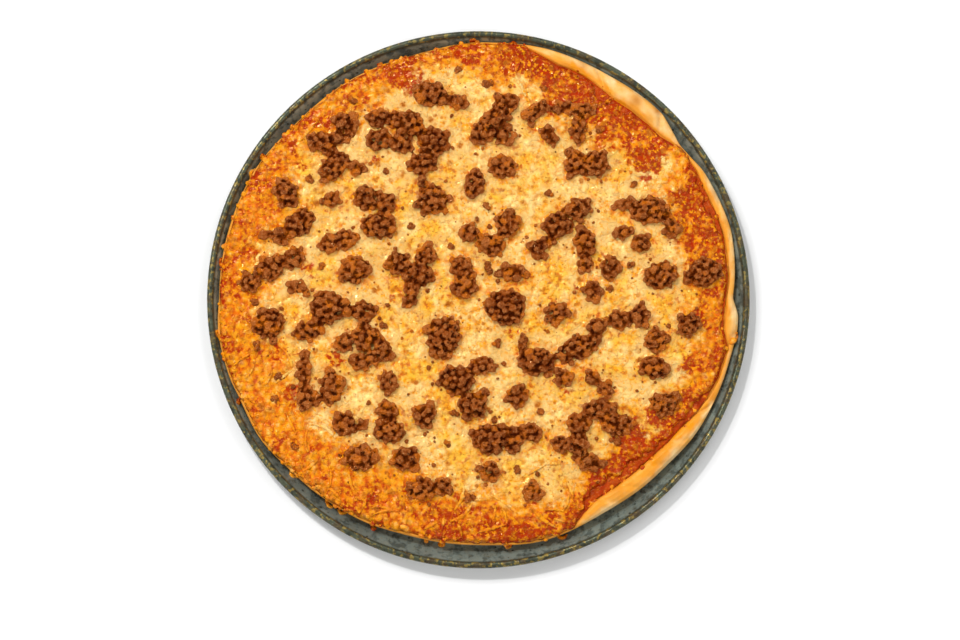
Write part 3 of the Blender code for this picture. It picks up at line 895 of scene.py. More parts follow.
# Single stained places: x, y and reach in millimetres, and strength
STAINS = (
    (111, 92, 17, 1.0), (140, 62, 18, 0.9), (150, 30, 16, 0.9), (134, 40, 12, 0.6),
    (72, 140, 16, 0.9), (100, 118, 14, 0.8), (30, 152, 15, 0.85), (50, 147, 13, 0.9),
    (-42, 143, 15, 0.8), (-70, 128, 14, 0.6), (-105, 118, 12, 0.6), (-128, 86, 15, 0.7),
    (-146, 52, 14, 0.45), (-152, 32, 13, 0.5), (-150, -14, 12, 0.3), (-143, -40, 15, 0.45),
    (-120, -66, 12, 0.6), (-106, -104, 14, 0.35), (-70, -128, 13, 0.4), (-30, -146, 18, 0.7),
    (6, -148, 16, 0.8), (40, -146, 15, 0.7), (-8, -138, 14, 0.6), (100, -92, 15, 0.9),
    (118, -78, 13, 0.85), (88, -112, 12, 0.8), (136, -46, 13, 0.6), (148, -12, 12, 0.5),
    (-92, -40, 9, 0.45), (-62, -2, 10, 0.3), (56, -64, 9, 0.35), (-40, -60, 9, 0.3),
    (-112, 20, 9, 0.35), (62, 8, 8, 0.25), (20, -20, 8, 0.3), (-66, 88, 10, 0.35),
)
# Share of the bare sauce that thin melted cheese creeps over
SAUCE_COVERED = 0.62
# A rim narrower than the first is covered by cheese, and one wider than the second is bare
BARE_CRUST = 2.6 * MM, 4.2 * MM
# How many shreds and bubbles there are, and how far from the middle they lie
SHREDS, INNER_BUBBLES, OUTER_BUBBLES = 2600, 1500, 1300
CHEESE_REACH, BUBBLE_REACH = 168 * MM, 166 * MM
# A granule counts as near this far round itself, if its foot is this low over the cheese
MEAT_REACH, MEAT_TOUCH = 9 * MM, 2.5 * MM
# Heights of the forms of the melted cheese
SHRED_HEIGHT, BUBBLE_HEIGHT, CLIMB_HEIGHT = 0.6 * MM, 0.5 * MM, 0.75 * MM
SWELL_HEIGHT, LUMP_HEIGHT, SMALL_LUMP_HEIGHT = 0.9 * MM, 1.0 * MM, 0.85 * MM


def visible_cheese_line():
    """Where the melted cheese ends: past its solid where the crust is thin, and ragged."""
    thin = 1 - smooth_step(*BARE_CRUST, CRUST_LINE - SAUCE_LINE)
    to_edge = CRUST_LINE - 0.9 * MM
    beside_sauce = CHEESE_LINE + SAUCE_COVERED * np.maximum(SAUCE_LINE - CHEESE_LINE, 0)
    line = mixed(beside_sauce, to_edge, thin)
    angle = angles_of(OUTLINE_STEPS)
    x, y = line * np.cos(angle), line * np.sin(angle)
    ragged = layered_noise(x, y, 14 * MM, 3, 3) * 6 * MM
    ragged += layered_noise(x, y, 4 * MM, 8, 2) * 2.6 * MM
    line += ragged * mixed(1.0, 0.2, thin)
    return np.minimum(line, mixed(SAUCE_LINE - 0.6 * MM, to_edge + 0.6 * MM, thin)), thin


VISIBLE_LINE, THIN_RIM = visible_cheese_line()


def meat_nearness():
    """The field of the distance to the nearest granule that touches the cheese."""
    field = new_field(20 * MM)
    for name in MEAT_NODES:
        for x, y, z, radius, _flat in clump_granules(name):
            if z - radius - CHEESE_MEAN >= MEAT_TOUCH:
                continue

            def away(a, b, radius=radius):
                return np.hypot(a, b) - radius * 0.95

            stamp(field, x, y, radius + MEAT_REACH, away, np.minimum)
    return field


def shred_field(count, seed):
    """Fields of the relief and of the own tone of melted shreds lying across each other."""
    relief, tone = new_field(), new_field()
    draw = random.Random(seed)
    for _ in range(count):
        angle, far = draw.uniform(0, 2 * math.pi), CHEESE_REACH * math.sqrt(draw.random())
        x, y = far * math.cos(angle), far * math.sin(angle)
        turn, half = draw.uniform(0, math.pi), draw.uniform(4, 11) * MM
        width, curl = draw.uniform(1.0, 1.9) * MM, draw.uniform(-0.02, 0.02) / MM
        strength, own = draw.uniform(0.3, 1.0), draw.random()

        def strand(a, b, turn=turn, half=half, width=width, curl=curl, strength=strength):
            along = a * math.cos(turn) + b * math.sin(turn)
            across = b * math.cos(turn) - a * math.sin(turn) - curl * along**2
            side = np.clip(1 - (across / width) ** 2, 0, 1)
            end = np.clip(1 - (along / half) ** 4, 0, 1)
            return strength * np.sqrt(side * end)

        stamp(relief, x, y, half + width, strand)
        stamp(tone, x, y, half + width, lambda a, b, f=strand, t=own: f(a, b) * t)
    return relief, tone


def bubble_field(count, seed, near_rim):
    """The field of small baked bubbles: how high they are, and how browned."""
    field = new_field()
    draw = random.Random(seed)
    for _ in range(count):
        angle = draw.uniform(0, 2 * math.pi)
        far = BUBBLE_REACH * draw.random() ** (0.34 if near_rim else 0.5)
        radius = draw.uniform(0.8, 2.3 if near_rim else 1.6) * MM
        strength = draw.uniform(0.35, 1.0)

        def dome(a, b, radius=radius, strength=strength):
            return strength * np.clip(1 - (a * a + b * b) / radius**2, 0, 1)

        stamp(field, far * math.cos(angle), far * math.sin(angle), radius, dome)
    return field


def border_fields(x, y):
    """How much of the orange border, and of its red, lies at each place, from 0 to 1."""
    angle = np.arctan2(y, x)
    degrees = np.degrees(angle)
    inside = around(VISIBLE_LINE, angle) - np.hypot(x, y)
    uneven = layered_noise(x, y, 22 * MM, 21, 4) * BORDER_UNEVEN
    depth = keyed(BORDER_DEPTH, degrees) * BORDER_REACH * MM
    border = 1 - smooth_step(0.35, 1.15, (inside + uneven) / depth)
    red_depth = mixed(0.35, 0.85, keyed(BORDER_RED, degrees))
    red = 1 - smooth_step(0.4 * red_depth, 1.3 * red_depth, (inside + uneven * 0.8) / depth)
    red = red * keyed(BORDER_RED, degrees)
    stains, patchy = np.zeros_like(x), layered_noise(x, y, 9 * MM, 31, 3) * 0.5
    for sx, sy, reach, strength in STAINS:
        away = np.hypot(x - sx * MM, y - sy * MM) / (reach * MM)
        away += patchy
        stains = np.maximum(stains, strength * (1 - smooth_step(0.3, 1.05, away)))
    return border, red, stains


# Points in the smallest ring of the cheese
FIRST_RING = 45
# The edge is round over the first width beside sauce, and over the second on a thin rim
EDGE_WIDTHS = 3.0 * MM, 5.5 * MM
# At its very end the cheese keeps this share of its height over what it lies on
EDGE_SHARE = 0.06
# What the cheese lies on is looked for this far inside its edge
EDGE_ZONE = 6 * MM
# Rings that round off the cheese's edge underneath: (inwards, down)
EDGE_RINGS = ((0.25 * MM, 0.5 * MM), (1.6 * MM, 0.75 * MM))


def cheese_rings(spacing):
    """Rings over the cheese's top, as (count, share of the way to the edge)."""
    rings = [(1, 0.0)]
    steps = round(CHEESE_REACH / spacing)
    count = FIRST_RING
    for step in range(1, steps + 1):
        share = step / steps
        between_points = 2 * math.pi * share * CHEESE_REACH / count
        if between_points > spacing * 1.35 and count < OUTLINE_STEPS:
            count *= 2
        rings.append((count, share))
    return rings


def hump(away):
    """The height of a soft round hump at this distance from its middle, in cells."""
    return np.exp(-((away / 0.42) ** 2)) - 0.35


def cheese_surface(x, y):
    """(height, distance inside the edge, masks) of the melted cheese at these places."""
    angle = np.arctan2(y, x)
    inside = around(VISIBLE_LINE, angle) - np.hypot(x, y)
    level = sampled(FIELDS["level"], x, y)
    near = sampled(FIELDS["near meat"], x, y)
    shreds, shred_tone = sampled(FIELDS["shreds"], x, y), sampled(FIELDS["shred tone"], x, y)
    bubbles = sampled(FIELDS["bubbles"], x, y)
    border, red, stains = border_fields(x, y)
    lumps, lump_tone = cell_noise(x, y, 5.2 * MM, 4)
    small_lumps, small_tone = cell_noise(x, y, 2.6 * MM, 9)
    rim = np.clip(border + 0.4 * stains, 0, 1)
    relief = SHRED_HEIGHT * shreds * (1 - 0.4 * rim)
    relief += SWELL_HEIGHT * layered_noise(x, y, 10 * MM, 41, 2)
    smooth = smooth_step(0.0, 0.5, value_noise(x, y, 13 * MM, 45)) * (1 - rim)
    rough = mixed(0.8, 1.1, rim) * (1 - 0.8 * smooth) * (1 - 0.5 * np.maximum(red, stains))
    relief += rough * (LUMP_HEIGHT * hump(lumps) + SMALL_LUMP_HEIGHT * hump(small_lumps))
    relief += BUBBLE_HEIGHT * bubbles * (1 - 0.6 * smooth)
    relief += CLIMB_HEIGHT * (1 - smooth_step(-0.4 * MM, 2.4 * MM, near)) ** 2
    dark_lumps = 0.6 * rim * (small_tone > 0.72) * (1 - small_lumps)
    masks = {
        "border": border,
        "red": np.clip(np.maximum(red, stains) * mixed(0.7, 1.2, lump_tone), 0, 1),
        "smooth": smooth,
        "lumps": 1 - np.clip(lumps * 1.25, 0, 1),
        "baked": np.clip(bubbles * 0.5 * rim + dark_lumps, 0, 1),
        "shred": np.clip(shreds * (0.5 + shred_tone), 0, 1),
        "near": 1 - smooth_step(0.5 * MM, 5.5 * MM, near),
    }
    return level + relief, inside, masks


FIELDS = {}


def fill_fields():
    """Works out the fields that the cheese and the crumbs share."""
    FIELDS["level"] = cheese_level()
    FIELDS["near meat"] = meat_nearness()
    FIELDS["shreds"], FIELDS["shred tone"] = shred_field(SHREDS, 11)
    inner = bubble_field(INNER_BUBBLES, 12, False)
    FIELDS["bubbles"] = np.maximum(inner, bubble_field(OUTER_BUBBLES, 13, True))


def support_height(x, y):
    """What lies under the edge of the cheese: the sauce, or the crust past the sauce's end."""
    angle, far = np.arctan2(y, x), np.hypot(x, y)
    on_crust = far > around(SAUCE_LINE, angle) - 0.2 * MM
    crust = heights(node_tree("crust"), x, y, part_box("sauce")[0].z)
    return np.where(on_crust, crust, SAUCE_LEVEL)


def make_cheese(spacing):
    rings = cheese_rings(spacing)
    counts = [count for count, _share in rings]
    x, y = ring_places(rings, lambda angle: around(VISIBLE_LINE, angle))
    z, inside, masks = cheese_surface(x, y)
    edge = inside < EDGE_ZONE
    support = np.full(len(x), SAUCE_LEVEL)
    support[edge] = support_height(x[edge], y[edge])
    width = mixed(*EDGE_WIDTHS, around(THIN_RIM, np.arctan2(y, x)))
    rise = np.sqrt(1 - (1 - np.clip(inside / width, 0, 1)) ** 2)
    z = support + (z - support) * mixed(EDGE_SHARE, 1.0, rise)
    points = np.stack([x, y, z], 1)
    last = slice(len(x) - counts[-1], len(x))
    under = []
    for inwards, drop in EDGE_RINGS:
        ring = points[last].copy()
        ring[:, :2] *= (1 - inwards / np.hypot(ring[:, 0], ring[:, 1]))[:, None]
        ring[:, 2] = np.maximum(ring[:, 2] - drop, SAUCE_LEVEL - 1.2 * MM)
        under.append(ring)
    low = SAUCE_LEVEL + 0.05 * MM
    bottom = under[-1] * (0.9, 0.9, 0) + (0, 0, low)
    every = np.concatenate([points, *under, bottom, [[0, 0, low]]])
    rings_under = len(under) + 1
    piece = ring_piece("cheese_melt", [*counts, *[counts[-1]] * rings_under, 1], every)
    for name, values in masks.items():
        set_mask(piece, name, np.concatenate([values, np.tile(values[last], rings_under), [0.0]]))
    return piece


def cheese_masks(look):
    """What the layers of the cheese's colour share: the mesh's masks and four kinds of patches."""
    names = ("border", "red", "baked", "shred", "near", "lumps", "smooth")
    on = SimpleNamespace(**{name: look.mask(name) for name in names})
    on.patch = look.mottle(16 * MM, 5, 0.45, 0.56, seed=3)
    on.warm = look.mottle(9 * MM, 5, 0.46, 0.58, seed=12)
    on.small = look.mottle(3.6 * MM, 4, 0.4, 0.62, seed=8)
    on.grain = look.mottle(3.2 * MM, 4, 0.46, 0.56, seed=1)
    on.melted = look.larger(on.near, on.smooth)
    return on


def paint_melt(look, on, settings):
    """Plain melted cheese: cream, with yellow and golden patches, painted shade of yellow and tan in the
    hollows between lumps, and beige beside the meat.
    """
    look.paint(on.patch, settings.yellow, 0.9)
    # Painted shade: deeper yellow in the hollows between the lumps.
    hollow = look.uneven(look.ramp(on.lumps, 0.1, 0.5, 0.7, 0.0), on.patch, 0.35, 1.0)
    look.paint(hollow, settings.yellow)
    look.paint(look.uneven(on.small, on.warm, 0.15, 0.9), settings.gold)
    # Tan toasted grain, laid mostly in the hollows between the lumps as painted shade.
    toasted_and_hollow_shade = look.times(on.grain, look.ramp(on.lumps, 0.15, 0.6, 0.9, 0.1))
    look.paint(look.uneven(toasted_and_hollow_shade, on.smooth, 0.85, 0.05), settings.tan)
    look.paint(look.uneven(on.melted, on.warm, 0.75, 0.15), settings.beige)
    look.paint(on.shred, settings.cream, 0.3)
    juice = look.times(look.ramp(on.near, 0.35, 1.0), look.times(on.warm, on.small))
    look.paint(juice, settings.orange, 0.8)


def paint_border(look, on, settings):
    """The border: golden and orange lumps with red between them. Returns where it is red."""
    share = look.ramp(look.plus(on.border, look.ramp(on.small, 0, 1, -0.25, 0.25)), 0.2, 0.6)
    humps = look.ramp(look.plus(on.lumps, look.ramp(on.small, 0, 1, -0.25, 0.2)), 0.5, 0.95, 1.0, 0.45)
    look.paint(look.times(share, humps), settings.gold)
    share = look.ramp(look.plus(on.border, look.ramp(on.warm, 0, 1, -0.75, 0.2)), 0.3, 0.8)
    share = look.uneven(share, on.small, 0.3, 0.95)
    look.paint(look.times(share, humps), settings.orange)
    look.paint(look.times(on.border, look.ramp(on.lumps, 0.15, 0.55, 0.9, 0.0)), settings.orange)
    seams = look.times(look.times(on.border, on.grain), look.ramp(on.lumps, 0.1, 0.35, 0.7, 0.0))
    look.paint(seams, settings.red)
    uneven = look.plus(look.ramp(on.small, 0, 1, -0.3, 0.25), look.ramp(on.patch, 0, 1, -0.3, 0.15))
    reddened = look.ramp(look.plus(on.red, uneven), 0.18, 0.55)
    look.paint(reddened, settings.red, 0.95)
    thick = look.times(look.ramp(on.red, 0.5, 1.0), look.times(on.grain, on.warm))
    look.paint(thick, settings.brown, 0.75)
    curds = look.times(look.ramp(on.lumps, 0.6, 0.9), look.ramp(on.small, 0.2, 0.8, 0.6, 0.0))
    look.paint(look.times(curds, reddened), settings.gold)
    look.paint(on.baked, settings.brown, 0.8)
    return reddened


def paint_flecks(look, on, settings):
    """Flecks and spots of orange oil, some with a browned middle, then fine spice."""
    flecks = look.mottle(2.4 * MM, 3, 0.54, 0.61, seed=21)
    look.paint(look.uneven(flecks, on.warm, 0.45, 0.95), settings.gold)
    spots = look.specks(4.6 * MM, 0.34, 0.7, seed=4)
    look.paint(look.uneven(spots, on.warm, 0.3, 0.85), settings.tan)
    large = look.specks(9.5 * MM, 0.3, 0.55, seed=5)
    look.paint(look.uneven(large, on.small, 0.45, 0.95), settings.tan)
    look.paint(look.times(look.ramp(large, 0.75, 1.0, 0.0, 0.5), on.small), settings.brown)
    bits = look.specks(3.2 * MM, 0.17, 0.5, seed=2)
    look.paint(bits, settings.brown, 0.75)
    return bits


def cheese_material(settings):
    look = Look("melted cheese", settings.cream)
    on = cheese_masks(look)
    paint_melt(look, on, settings)
    reddened = paint_border(look, on, settings)
    bits = paint_flecks(look, on, settings)
    look.shine_like_oil(0.4)
    look.let_light_in((1.0, 0.4, 0.1), 1.5 * MM)
    gloss = look.larger(on.melted, reddened)
    roughness = look.ramp(look.minus(on.small, gloss), -1, 1, 0.1, 0.42)
    return look.finish(roughness, look.minus(on.grain, look.times(bits, 0.4)), 0.6 * MM, 0.8)


class PIZZA_OT_cheese(bpy.types.Operator):
    """Melts the cheese over the pizza"""

    bl_idname = "pizza.cheese"
    bl_label = "Melted cheese"

    def execute(self, context):
        settings = context.scene.pizza_cheese
        piece = make_cheese(settings.spacing)
        finish_piece(piece, cheese_material(settings), "melted_cheese", "cheese")
        return {"FINISHED"}


# Sauce: the glossy red layer that shows beside the cheese

# Past this share of the way out the sauce has fine rings, as it shows there
SAUCE_FINE_FROM = 0.76
# The edge waves as the noise does round a circle of this radius
SAUCE_WAVE_AT = 170 * MM


def sauce_edge(angle):
    """How far out the sauce's wavy edge lies."""
    x, y = SAUCE_WAVE_AT * np.cos(angle), SAUCE_WAVE_AT * np.sin(angle)
    return around(SAUCE_LINE, angle) + 0.25 * MM + 0.5 * MM * layered_noise(x, y, 6 * MM, 52)


def make_sauce(spacing):
    """The sauce's layer, coarse under the cheese and fine where it shows."""
    rings = [(1, 0.0), (90, 0.35), (180, 0.6), (360, 0.74)]
    steps = round((1 - SAUCE_FINE_FROM) * around(SAUCE_LINE, 0) / spacing)
    rings += [(720, mixed(SAUCE_FINE_FROM, 1.0, k / steps)) for k in range(steps + 1)]
    x, y = ring_places(rings, sauce_edge)
    lumps, tone = cell_noise(x, y, 3.6 * MM, 6)
    inside = around(SAUCE_LINE, np.arctan2(y, x)) - np.hypot(x, y)
    bare = around(SAUCE_LINE - VISIBLE_LINE, np.arctan2(y, x))
    lift = layered_noise(x, y, 8 * MM, 51, 3) * 0.5 * MM + (0.5 - lumps) * 0.5 * MM
    z = SAUCE_LEVEL - 0.1 * MM + lift * smooth_step(0, 2 * MM, inside)
    z = mixed(z, SAUCE_LEVEL - 0.25 * MM, smooth_step(0, 2.5 * MM, inside - bare))
    counts = [count for count, _share in rings]
    last = slice(len(x) - counts[-1], len(x))
    points, low = np.stack([x, y, z], 1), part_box("sauce")[0].z
    skirt = points[last] * (1, 1, 0) + (0, 0, low)
    every = np.concatenate([points, skirt, [[0, 0, low]]])
    piece = ring_piece("sauce_layer", [*counts, counts[-1], 1], every)
    set_mask(piece, "thick", np.concatenate([tone, tone[last], [0.0]]))
    return piece


def sauce_material(settings):
    look = Look("tomato sauce", settings.red)
    patches = look.mottle(6 * MM, 4, 0.4, 0.65, seed=6)
    fine = look.mottle(1.8 * MM, 3, 0.3, 0.7, seed=7)
    look.paint(patches, settings.deep)
    look.paint(look.uneven(look.mask("thick"), fine, 0.2, 0.8), settings.bright)
    bits = look.specks(5 * MM, 0.14, 0.4, seed=3)
    look.paint(bits, settings.bits, 0.8)
    look.shine_like_oil(0.3)
    return look.finish(look.ramp(fine, 0, 1, 0.14, 0.34), fine, 0.6 * MM, 0.7)


class PIZZA_OT_sauce(bpy.types.Operator):
    """Spreads the tomato sauce under the cheese"""

    bl_idname = "pizza.sauce"
    bl_label = "Tomato sauce"

    def execute(self, context):
        settings = context.scene.pizza_sauce
        piece = make_sauce(settings.spacing)
        finish_piece(piece, sauce_material(settings), "tomato_sauce", "sauce")
        return {"FINISHED"}


# Crust: the slab with its puffed rim, smoothed from the frame's facets

# Creases across the rim: (angle, half-width in degrees, depth in millimetres)
WRINKLES = (
    (43.5, 0.9, 2.1), (60.5, 0.8, 1.95), (57.5, 0.5, 1.05), (64, 0.7, 0.75), (50, 1.0, 0.75),
    (72, 0.8, 0.75), (12, 0.8, 0.75), (20, 0.9, 0.75), (26, 0.7, 0.6), (302, 0.8, 0.9),
    (308, 1.0, 0.9), (316, 0.8, 0.75), (324, 0.9, 0.9), (333, 1.0, 1.8), (350, 0.9, 1.35),
    (356, 0.6, 0.75),
)
# Browned places: (angle, share of the way across the rim, reach in millimetres, strength)
SCORCHES = (
    (51.5, 0.62, 4.5, 0.9), (46.5, 0.95, 3.0, 1.0), (66, 0.7, 5.0, 0.5), (17, 0.7, 5.0, 0.45),
    (24, 0.5, 5.0, 0.5), (305, 0.3, 5.0, 0.4), (318, 0.4, 6.0, 0.35), (337, 0.5, 4.0, 0.6),
    (352, 0.85, 3.0, 0.5), (357, 0.4, 4.0, 0.4),
)
# How far orange oil soaks out over the rim, as a share of its width, by angle
OIL_REACH = (
    (0, 0.55), (20, 0.5), (32, 0.75), (44, 0.3), (58, 0.4), (70, 0.6), (84, 0.8), (290, 0.95),
    (318, 0.85), (340, 0.8), (350, 0.6),
)
RIM_POINTS, RIM_RINGS = 720, 22
# Heights of the rim's broad humps, fine bumps and uneven foot
HUMP_HEIGHT, BUMP_HEIGHT, FOOT_HEIGHT = 0.6 * MM, 0.22 * MM, 0.55 * MM
# The gap between the crust and the pan, and how far in the crust turns under
PAN_GAP, TURN_UNDER = 0.35 * MM, 1.5 * MM


def rim_heights(radii, crust):
    """Heights of the frame's rim, ring by ring, with its facets smoothed away."""
    angle = angles_of(RIM_POINTS)
    rows = [heights(crust, r * np.cos(angle), r * np.sin(angle), np.nan) for r in radii]
    for inner, row in zip(rows, rows[1:]):
        lost = np.isnan(row)
        row[lost] = inner[lost]
    return np.array([turned_average(row, 11) for row in rows])


def rim_hump(share):
    """0 at the rim's foot and at its edge, and up to 1 between."""
    return np.sin(math.pi * np.clip(share, 0.02, 1)) ** 0.5


def rim_relief(x, y, share, angle):
    """What humps, creases and an uneven foot add to one ring of the rim where it is bare."""
    relief = HUMP_HEIGHT * layered_noise(x, y, 12 * MM, 61, 3)
    relief += BUMP_HEIGHT * layered_noise(x, y, 4.5 * MM, 63, 2)
    for middle, half, depth in WRINKLES:
        away = (np.degrees(angle) - middle + 180 - 4 * (share - 0.5)) % 360 - 180
        relief -= depth * MM * np.exp(-((away / half) ** 2))
    at_foot = math.exp(-((share / 0.3) ** 2))
    return relief * rim_hump(share) + FOOT_HEIGHT * at_foot * layered_noise(x, y, 7 * MM, 62, 3)


def rim_browning(x, y, share, foot, outer):
    """How browned one ring of the rim is."""
    brown = 0.45 * np.clip(layered_noise(x, y, 10 * MM, 71, 4), 0, 1) * rim_hump(share)
    for middle, across, reach, strength in SCORCHES:
        at, k = math.radians(middle), int(middle / 360 * RIM_POINTS)
        far = mixed(foot[k], outer[k], across)
        away = np.hypot(x - far * math.cos(at), y - far * math.sin(at)) / (reach * MM)
        brown = np.maximum(brown, strength * np.exp(-(away**2)))
    return brown


def crust_underside(angle, outer, edge):
    """Rings from the rim's edge round to the middle of the underside."""
    wall = node_tree("pan")

    def over_pan(radius):
        return heights(wall, radius * np.cos(angle), radius * np.sin(angle), 0) + PAN_GAP

    under = turned_average(over_pan(outer - TURN_UNDER), 11)
    rings = [
        (outer, np.maximum(edge - 0.6 * MM, under + 0.5 * MM)),
        (outer - 0.1 * MM, np.maximum(edge - 1.4 * MM, under + 0.3 * MM)),
        (outer - TURN_UNDER, under),
    ]
    for inwards in (4 * MM, 8 * MM):
        radius = np.minimum(outer - inwards, 170 * MM)
        rings.append((radius, over_pan(radius)))
    rings = [(RIM_POINTS, radius, height) for radius, height in rings]
    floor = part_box("crust")[0].z
    return rings + [(360, 150 * MM, floor), (180, 100 * MM, floor), (1, 0.0, floor)]


def make_crust():
    """The slab: a plain top under the sauce, the rim, and an underside that follows the pan."""
    angle = angles_of(RIM_POINTS)
    outer, foot = around(CRUST_LINE, angle), around(SAUCE_LINE, angle) - 0.6 * MM
    shares = np.linspace(0, 1, RIM_RINGS + 1) ** 0.85
    radii = [mixed(foot, outer - 0.35 * MM, share) for share in shares]
    grid = rim_heights(radii, node_tree("crust"))
    low = grid[0].min()
    rings = [(1, 0.0, low), (180, foot[::4] * 0.7, low), (360, foot[::2] * 0.97, low)]
    browning = [np.zeros(count) for count, _radius, _height in rings]
    bare = np.clip((outer - foot) / (6 * MM), 0, 1)
    for radius, share, row in zip(radii, shares, grid):
        x, y = radius * np.cos(angle), radius * np.sin(angle)
        rings.append((RIM_POINTS, radius, row + bare * rim_relief(x, y, share, angle)))
        browning.append(rim_browning(x, y, share, foot, outer))
    under = crust_underside(angle, outer, rings[-1][2])
    browning += [browning[-1] * 0.5 + 0.4] * 3 + [np.full(RIM_POINTS, 0.4)] * 2
    browning += [np.zeros(count) for count, _radius, _height in under[5:]]
    rings += under
    piece = turned_piece("crust_slab", rings)
    set_mask(piece, "browned", np.concatenate(browning))
    mark_rim(piece, *ring_points(rings)[:, :2].T)
    return piece


def mark_rim(piece, x, y):
    """Stores how far across the rim each point lies, how oily it is and how wide the rim is."""
    angle = np.arctan2(y, x)
    width = around(CRUST_LINE - SAUCE_LINE, angle)
    across = (np.hypot(x, y) - around(SAUCE_LINE, angle)) / np.maximum(width, 0.1 * MM)
    uneven = 0.7 * layered_noise(x, y, 9 * MM, 64, 3) + 0.25 * layered_noise(x, y, 3 * MM, 65, 2)
    soaked = across / keyed(OIL_REACH, np.degrees(angle)) + uneven
    set_mask(piece, "across", np.clip(across, 0, 1))
    set_mask(piece, "soaked", 1 - smooth_step(0.45, 1.15, soaked))
    set_mask(piece, "bare", np.clip(width / (8 * MM), 0, 1))


def crust_material(settings):
    look = Look("baked crust", settings.dough)
    soft = look.mottle(11 * MM, 4, 0.42, 0.62, seed=9)
    fine = look.mottle(2 * MM, 4, 0.25, 0.75, seed=10)
    look.paint(look.times(soft, look.ramp(look.mask("across"), 0.2, 0.9, 0.4, 1.0)), settings.pale)
    thin = look.ramp(look.mask("bare"), 0.3, 0.8, 1.0, 0.0)
    oily = look.times(look.larger(look.mask("soaked"), thin), look.ramp(soft, 0, 1, 0.7, 1.0))
    look.paint(oily, settings.oily)
    look.paint(look.ramp(look.mask("browned"), 0.05, 1.0, 0.0, 0.95), settings.browned)
    look.paint(fine, settings.browned, 0.1)
    look.shine_like_oil(0.3)
    look.let_light_in((1.0, 0.5, 0.2), 2 * MM)
    return look.finish(look.ramp(oily, 0, 1, 0.6, 0.25), fine, 0.3 * MM, 0.5)


class PIZZA_OT_crust(bpy.types.Operator):
    """Bakes the crust with its bare puffed rim"""

    bl_idname = "pizza.crust"
    bl_label = "Crust"

    def execute(self, context):
        settings = context.scene.pizza_crust
        finish_piece(make_crust(), crust_material(settings), "baked_crust", "crust")
        return {"FINISHED"}


# Crumbs: small bits of meat between the clumps

# Granules on each crumb of the frame, and places tried for the finer loose ones
CRUMB_GRANULES, CRUMB_TRIES = 5, 900
# Loose crumbs keep this far from the meat, and get fewer over this distance from it
CRUMB_GAP, CRUMB_SPREAD = 1 * MM, 5 * MM
# Loose crumbs lie within this distance of the middle
CRUMB_AREA = 150 * MM


def crumb_granules(rest):
    """Granules of the crumbs in the frame, and finer ones scattered round the clumps."""
    draw = random.Random(77)
    placed = []
    for x, y, width, top in crumb_places():
        radius = max(width * 0.42, 1.6 * MM)
        low = sampled_at("level", x, y)
        for _ in range(CRUMB_GRANULES):
            angle, far = draw.uniform(0, 2 * math.pi), radius * draw.uniform(0.3, 1.1)
            size = draw.uniform(1.4, 2.3) * MM
            high = low + draw.uniform(0.2, 0.5) * (top - low)
            placed.append((x + far * math.cos(angle), y + far * math.sin(angle), high, size, 0.85))
        placed.append((x, y, top - 1.9 * MM, 1.8 * MM, 0.9))
    for _ in range(CRUMB_TRIES):
        angle, far = draw.uniform(0, 2 * math.pi), CRUMB_AREA * math.sqrt(draw.random())
        x, y = far * math.cos(angle), far * math.sin(angle)
        near = sampled_at("near meat", x, y)
        if near < CRUMB_GAP or draw.random() > math.exp(-near / CRUMB_SPREAD):
            continue
        size = mixed(0.6, 1.8, draw.random() ** 2) * MM
        placed.append((x, y, rest.height(x, y) + 0.25 * size, size, 0.8))
    return placed


class PIZZA_OT_crumbs(bpy.types.Operator):
    """Scatters small crumbs of meat between the clumps"""

    bl_idname = "pizza.crumbs"
    bl_label = "Crumbs"

    def execute(self, context):
        material = shared_material("cooked ground meat")
        granules = crumb_granules(Ground("cheese_melt"))
        points, faces = lumpy_balls(granules, 2, 0.5, 78)
        piece = mesh_object("meat_crumbs", points, faces)
        draw = random.Random(79)
        tones = [draw.random() for _ in granules]
        set_mask(piece, "tone", np.repeat(tones, len(points) // len(granules)))
        # The crumbs get no painted shade in crevices, and painted light on their humps at a fixed share.
        set_mask(piece, "crevice_shade", np.zeros(len(points)))
        set_mask(piece, "ridge_light", np.full(len(points), 0.4))
        finish_piece(piece, material, "ground_meat")
        return {"FINISHED"}


# Shreds: strands of cheese that kept their form, and lumps of it over the edge

# Where cheese ran over the edge of the crust: (angle, reach in millimetres, how burnt)
DRIPS = (
    (90, 3.5, 0.9), (113, 3.0, 0.1), (147, 3.5, 0.2), (152, 3.0, 0.1), (173, 2.5, 0.2),
    (189, 2.2, 0.0), (203, 4.0, 1.0), (225, 3.0, 0.1), (233, 3.5, 0.1), (238.5, 3.0, 0.1),
    (245, 3.0, 0.2), (262, 2.2, 0.1), (276, 2.4, 0.2), (288, 3.2, 0.4), (350, 2.2, 0.7),
)
# A drip is this many balls long, and ends before the pan's wall
DRIP_BALLS, DRIP_END = 9, 174 * MM
EDGE_LUMPS, SAUCE_LUMPS, STRANDS = 380, 420, 80
# Cheese that lies on the other pieces is melted into one skin this fine
STRAND_VOXEL = 0.6 * MM


class Ground:
    """Finds how high the finished pieces lie at a place."""

    def __init__(self, *names):
        depsgraph = bpy.context.evaluated_depsgraph_get()
        self.trees = [BVHTree.FromObject(bpy.data.objects[name], depsgraph) for name in names]

    def height(self, x, y):
        start, down = Vector((x, y, ABOVE_ALL)), Vector((0, 0, -1))
        hits = [tree.ray_cast(start, down)[0] for tree in self.trees]
        return max((hit.z for hit in hits if hit is not None), default=0.0)


def mask_like_cheese(piece, red_share, lump, burnt=None):
    """Gives a piece of cheese the masks of the cheese that it lies on."""
    points = points_and_normals(piece.data)[0]
    x, y = points[0::3], points[1::3]
    border, red, stains = border_fields(x, y)
    set_mask(piece, "border", border)
    set_mask(piece, "red", np.clip(np.maximum(red, stains) * red_share, 0, 1))
    set_mask(piece, "baked", burnt(x, y) if burnt else np.zeros_like(x))
    for name, value in (("lumps", lump), ("shred", 0.4), ("near", 0), ("smooth", 0)):
        set_mask(piece, name, np.full_like(x, value))


